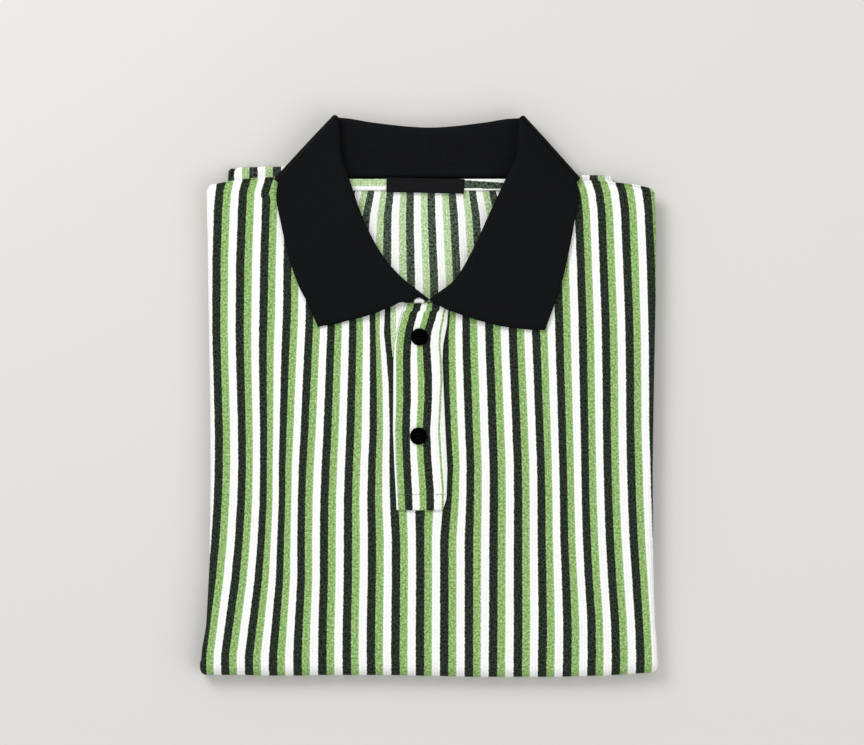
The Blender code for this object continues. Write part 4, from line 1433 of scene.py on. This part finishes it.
def black_resin():
    """Polished resin, nearly black, with a faint swirl."""
    made, tree, shader, node = cloth_tree("black_resin", RESIN_ROUGHNESS, RESIN_GLOSS)
    place = node("ShaderNodeTexCoord").outputs["Object"]
    swirl = node("ShaderNodeTexNoise", {"Vector": place, "Scale": SWIRL_SCALE, "Detail": 2.0})
    tree.links.new(ramp(node, swirl.outputs["Fac"], ((0.3, (0.0003, 0.0003, 0.0004)),
                                                     (0.7, (0.0010, 0.0010, 0.0013)))),
                   shader.inputs["Base Color"])
    bump = node("ShaderNodeBump", {"Height": swirl.outputs["Fac"], "Strength": 0.1,
                                   "Distance": 0.02 * MM})
    tree.links.new(bump.outputs["Normal"], shader.inputs["Normal"])
    return made


def thread_material(name, colour):
    """Spun thread: a twist of light and shade over the object's own coordinates."""
    made, tree, shader, node = cloth_tree(name, THREAD_ROUGHNESS, THREAD_GLOSS)
    place = node("ShaderNodeTexCoord").outputs["Object"]
    twist = node("ShaderNodeTexNoise", {"Vector": place, "Scale": TWIST_SCALE, "Detail": 1.0})
    shade_colour = tuple(THREAD_DIM * part for part in colour)
    tree.links.new(ramp(node, twist.outputs["Fac"], ((0.35, shade_colour), (0.65, colour))),
                   shader.inputs["Base Color"])
    return made


resin = black_resin()
black_thread = thread_material("black_thread", (0.004, 0.004, 0.005))
pale_thread = thread_material("pale_thread", (0.80, 0.80, 0.78))
green_thread = thread_material("green_thread", (0.11, 0.17, 0.09))
print("materials:", resin.name, black_thread.name, pale_thread.name, green_thread.name)

# %% [markdown]
# ## Buttons
# A shirt button is turned on a lathe: a dished face, a rounded rim and a flat foot, with four
# holes. The Screw modifier could turn the profile. A short loop does the same, and makes the
# drills for the holes too. A Boolean cuts the holes, as a real drill would, and its result is kept
# as a plain mesh. Both buttons lie on the placket's outer face.

# %% Turned forms
def turned(profile, steps, centre):
    """A closed turned form in millimetres: rings of a profile with a flat cap at each end."""
    points, faces = [], []
    for radius, height in profile:
        for step in range(steps):
            turn = 2.0 * math.pi * step / steps
            points.append((centre[0] + radius * math.cos(turn), centre[1] + radius * math.sin(turn),
                           centre[2] + height))
    for ring in range(len(profile) - 1):
        for step in range(steps):
            following = (step + 1) % steps
            faces.append((ring * steps + step, (ring + 1) * steps + step,
                          (ring + 1) * steps + following, ring * steps + following))
    faces.append(tuple(range(steps)))
    last = (len(profile) - 1) * steps
    faces.append(tuple(range(last + steps - 1, last - 1, -1)))
    return points, faces


def plain_object(name, points, faces, finish):
    mesh = bpy.data.meshes.new(name)
    mesh.from_pydata([tuple(value * MM for value in point) for point in points], [], faces)
    mesh.materials.append(finish)
    made = bpy.data.objects.new(name, mesh)
    bpy.context.scene.collection.objects.link(made)
    return made


def settle(made):
    """Keeps what the modifiers made as a plain mesh, and takes them off."""
    graph = bpy.context.evaluated_depsgraph_get()
    kept = bpy.data.meshes.new_from_object(made.evaluated_get(graph), depsgraph=graph)
    kept.name = made.name
    made.modifiers.clear()
    made.data = kept


print("turned form ready")

# %% Turn the buttons
BUTTON_WIDTH = 11.3
BUTTON_HEIGHT = 2.4
BUTTON_STEPS = 48
# Share of the radius and share of the height, from the middle of the face to the middle of the foot.
BUTTON_PROFILE = ((0.58, 0.62), (0.68, 0.74), (0.76, 0.92), (0.87, 1.0), (0.96, 0.92),
                  (1.0, 0.58), (0.94, 0.16), (0.78, 0.0))
BUTTONS = (("button_upper", "turned_button_upper", 419.5, 337.0),
           ("button_lower", "turned_button_lower", 418.6, 436.0))
HOLE_WIDTH = 1.7
HOLE_PLACE = 1.2
HOLE_FLOOR = 0.6
DRILL_SIDES = 14
THREAD_HEIGHT = 0.62
SHARP_FROM = math.radians(40.0)
button_tops = []
for node_name, name, pixel, line in BUTTONS:
    x, y = photo_x(pixel), photo_y(line)
    foot = placket_face(x, y)
    profile = [(0.5 * BUTTON_WIDTH * wide, BUTTON_HEIGHT * high) for wide, high in BUTTON_PROFILE]
    button = plain_object(name, *turned(profile, BUTTON_STEPS, (x, y, foot)), resin)
    drill_points, drill_faces = [], []
    for side_x, side_y in ((-1, -1), (1, -1), (1, 1), (-1, 1)):
        centre = (x + HOLE_PLACE * side_x, y + HOLE_PLACE * side_y, foot)
        shaft = ((0.5 * HOLE_WIDTH, BUTTON_HEIGHT), (0.5 * HOLE_WIDTH, HOLE_FLOOR))
        more_points, more_faces = turned(shaft, DRILL_SIDES, centre)
        drill_faces += [tuple(len(drill_points) + corner for corner in face) for face in more_faces]
        drill_points += more_points
    drill = plain_object(name + "_drill", drill_points, drill_faces, resin)
    cut = button.modifiers.new("holes", "BOOLEAN")
    cut.operation = "DIFFERENCE"
    cut.object = drill
    settle(button)
    bpy.data.objects.remove(drill)
    button.data.set_sharp_from_angle(angle=SHARP_FROM)
    wear(button, node_name)
    button_tops.append((x, y, foot + THREAD_HEIGHT * BUTTON_HEIGHT))
    print(name, len(button.data.polygons), "faces")

# %% [markdown]
# ## Stitches
# A seam shows as a row of short stitches of thread, hundreds on the whole shirt. Each could be an
# object copied along the seam, but a change would mean copying again. One Geometry Nodes tree
# makes them all: it turns a line into points a stitch apart, puts a low capsule on each along the
# line, varies their size a little from a fixed seed, and realizes them. Every seam only sets the
# tree's inputs.

# %% Stitch tree
STITCH_SIDES, STITCH_RINGS = 6, 4


def stitch_tree():
    """The tree: its inputs are the sizes of a stitch, how uneven it is, a seed and the thread."""
    tree = bpy.data.node_groups.new("stitches", "GeometryNodeTree")
    face = tree.interface
    face.new_socket("Geometry", in_out="INPUT", socket_type="NodeSocketGeometry")
    for name, value in (("Spacing", 0.0026), ("Stitch Length", 0.0019), ("Thread Width", 0.0004),
                        ("Unevenness", 0.12)):
        socket = face.new_socket(name, in_out="INPUT", socket_type="NodeSocketFloat")
        socket.default_value = value
    face.new_socket("Seed", in_out="INPUT", socket_type="NodeSocketInt").default_value = 7
    face.new_socket("Thread", in_out="INPUT", socket_type="NodeSocketMaterial")
    face.new_socket("Geometry", in_out="OUTPUT", socket_type="NodeSocketGeometry")

    def add(kind, links, **settings):
        node = tree.nodes.new(kind)
        for key, value in settings.items():
            setattr(node, key, value)
        for key, value in links.items():
            if isinstance(value, bpy.types.NodeSocket):
                tree.links.new(value, node.inputs[key])
            else:
                node.inputs[key].default_value = value
        return node

    given = tree.nodes.new("NodeGroupInput").outputs
    line = add("GeometryNodeMeshToCurve", {"Mesh": given["Geometry"]})
    spaced = add("GeometryNodeResampleCurve", {"Curve": line.outputs[0], "Length": given["Spacing"]},
                 mode="LENGTH")
    ball = add("GeometryNodeMeshUVSphere", {"Segments": STITCH_SIDES, "Rings": STITCH_RINGS,
                                            "Radius": 0.5})
    size = add("ShaderNodeCombineXYZ", {"X": given["Stitch Length"], "Y": given["Thread Width"],
                                        "Z": given["Thread Width"]})
    capsule = add("GeometryNodeTransform", {"Geometry": ball.outputs["Mesh"], "Scale": size.outputs[0]})
    tangent = add("GeometryNodeInputTangent", {})
    turn = add("FunctionNodeAlignRotationToVector", {"Vector": tangent.outputs[0]}, axis="X")
    least = add("ShaderNodeMath", {0: 1.0, 1: given["Unevenness"]}, operation="SUBTRACT")
    most = add("ShaderNodeMath", {0: 1.0, 1: given["Unevenness"]}, operation="ADD")
    uneven = add("FunctionNodeRandomValue", {"Min": least.outputs[0], "Max": most.outputs[0],
                                             "Seed": given["Seed"]}, data_type="FLOAT")
    for key, source in (("Min", least), ("Max", most)):
        socket = [s for s in uneven.inputs if s.name == key and s.enabled][0]
        tree.links.new(source.outputs[0], socket)
    value = [s for s in uneven.outputs if s.enabled][0]
    sewn = add("GeometryNodeInstanceOnPoints", {"Points": spaced.outputs[0],
                                                "Instance": capsule.outputs[0],
                                                "Rotation": turn.outputs[0], "Scale": value})
    real = add("GeometryNodeRealizeInstances", {"Geometry": sewn.outputs[0]})
    finish = add("GeometryNodeSetMaterial", {"Geometry": real.outputs[0], "Material": given["Thread"]})
    last = tree.nodes.new("NodeGroupOutput")
    tree.links.new(finish.outputs[0], last.inputs[0])
    return tree


stitches = stitch_tree()
print("stitch tree:", len(stitches.nodes), "nodes")

# %% [markdown]
# ## Sewing the seams
# The seams are few: one line across the placket's foot, one along each of its edges, one along
# the tape at each side of the label, one across each end of the label, and two bars of thread on
# each button. The lines could be curve objects drawn by hand. Here they are points on the same
# faces that the sheets were made from, so every stitch lies on its cloth. The result is kept as a
# plain mesh, and the tree is taken off.

# %% How a seam is sewn
def sew(name, lines, thread, settings):
    """Stitches along lines of points in millimetres."""
    points, edges = [], []
    for line in lines:
        edges += [(len(points) + step, len(points) + step + 1) for step in range(len(line) - 1)]
        points += line
    mesh = bpy.data.meshes.new(name)
    mesh.from_pydata([tuple(value * MM for value in point) for point in points], edges, [])
    made = bpy.data.objects.new(name, mesh)
    bpy.context.scene.collection.objects.link(made)
    maker = made.modifiers.new("stitches", "NODES")
    maker.node_group = stitches
    sockets = {item.name: item.identifier for item in stitches.interface.items_tree
               if item.in_out == "INPUT"}
    maker[sockets["Thread"]] = thread
    for key, value in settings.items():
        maker[sockets[key]] = value
    settle(made)
    made.data.shade_smooth()
    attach(made, "root")
    print(name, len(made.data.polygons), "faces")


def stitch(spacing, length, width):
    """Sizes of a stitch, given in millimetres."""
    return {"Spacing": spacing * MM, "Stitch Length": length * MM, "Thread Width": width * MM}


def on_placket(x, y, lift):
    return (x, y, placket_face(x, y) + lift)


FINE_STITCH = stitch(2.6, 2.0, 0.3)
SEAM_LIFT = 0.02
print("a fine stitch:", {name: round(size / MM, 2) for name, size in FINE_STITCH.items()}, "mm")

# %% Sew the placket
BOTTOM_SEAM_LINE = 494.3
BOTTOM_SEAM_WAVE, BOTTOM_SEAM_LIFT = 0.15, 0.05
BOTTOM_SEAM_LEFT, BOTTOM_SEAM_RIGHT = 1.0, 1.2
BOTTOM_SEAM_POINTS, EDGE_SEAM_POINTS = 40, 120
EDGE_SEAM_INSET = 1.6
EDGE_SEAM_FROM_LINE = 313.0
seam_y = photo_y(BOTTOM_SEAM_LINE)
seam_left, seam_right = placket_edges(seam_y)
sew("placket_bottom_stitches",
    [[on_placket(x, seam_y + BOTTOM_SEAM_WAVE * math.sin(x), BOTTOM_SEAM_LIFT)
      for x in np.linspace(seam_left + BOTTOM_SEAM_LEFT, seam_right - BOTTOM_SEAM_RIGHT,
                           BOTTOM_SEAM_POINTS)]],
    green_thread, stitch(2.3, 1.9, 0.42))
edge_lines = [[], []]
for y in np.linspace(photo_y(EDGE_SEAM_FROM_LINE), seam_y, EDGE_SEAM_POINTS):
    left, right = placket_edges(y)
    edge_lines[0].append(on_placket(left + EDGE_SEAM_INSET, y, SEAM_LIFT))
    edge_lines[1].append(on_placket(right - EDGE_SEAM_INSET, y, SEAM_LIFT))
sew("placket_edge_stitches", edge_lines, pale_thread, FINE_STITCH)

# %% Sew the tape and the label
TAPE_SEAM_Y = 134.1
TAPE_SEAMS = ((-52.5, -29.0), (24.5, 51.5))
LABEL_SEAM_INSET, LABEL_SEAM_HALF = 1.0, 3.8
TAPE_SEAM_POINTS, LABEL_SEAM_POINTS = 12, 8
tape_lines = []
for start_x, end_x in TAPE_SEAMS:
    tape_lines.append([(x, TAPE_SEAM_Y, top_height(x, TAPE_SEAM_Y) - CLOTH + TAPE_CLOTH + SEAM_LIFT)
                       for x in np.linspace(start_x, end_x, TAPE_SEAM_POINTS)])
sew("tape_stitches", tape_lines, pale_thread, FINE_STITCH)
label_top = top_height(0.0, LABEL_CENTRE[1]) - CLOTH + GAP + TAPE_CLOTH + LABEL_CLOTH
label_lines = []
for side in (-1.0, 1.0):
    u = side * (0.5 * LABEL_SIZE[0] - LABEL_SEAM_INSET)
    label_lines.append([(*on_label(u, v), label_top + SEAM_LIFT)
                        for v in np.linspace(-LABEL_SEAM_HALF, LABEL_SEAM_HALF, LABEL_SEAM_POINTS)])
sew("label_stitches", label_lines, black_thread, stitch(1.5, 1.1, 0.3))

# %% Tie the buttons
BAR_LIFT = 0.1
thread_bars = []
for x, y, z in button_tops:
    for side in (-1.0, 1.0):
        thread_bars.append([(x + step * HOLE_PLACE, y + side * HOLE_PLACE, z + BAR_LIFT)
                            for step in (-1.0, 1.0)])
sew("button_threads", thread_bars, black_thread, stitch(1.2, 1.7, 0.5))

# %% [markdown]
# ## The size a sheet was cut to
# Real cloth keeps the size it was cut to, however it lies, and the folded part of a sheet is hard to
# see from outside. Only the placket's flat area is worked out, where it is laid.

# %% [markdown]
# ## Sizes
# The dressed shirt mustn't outgrow its solids, so the box round every shown piece is measured.

# %% Measure the sizes
low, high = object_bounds()
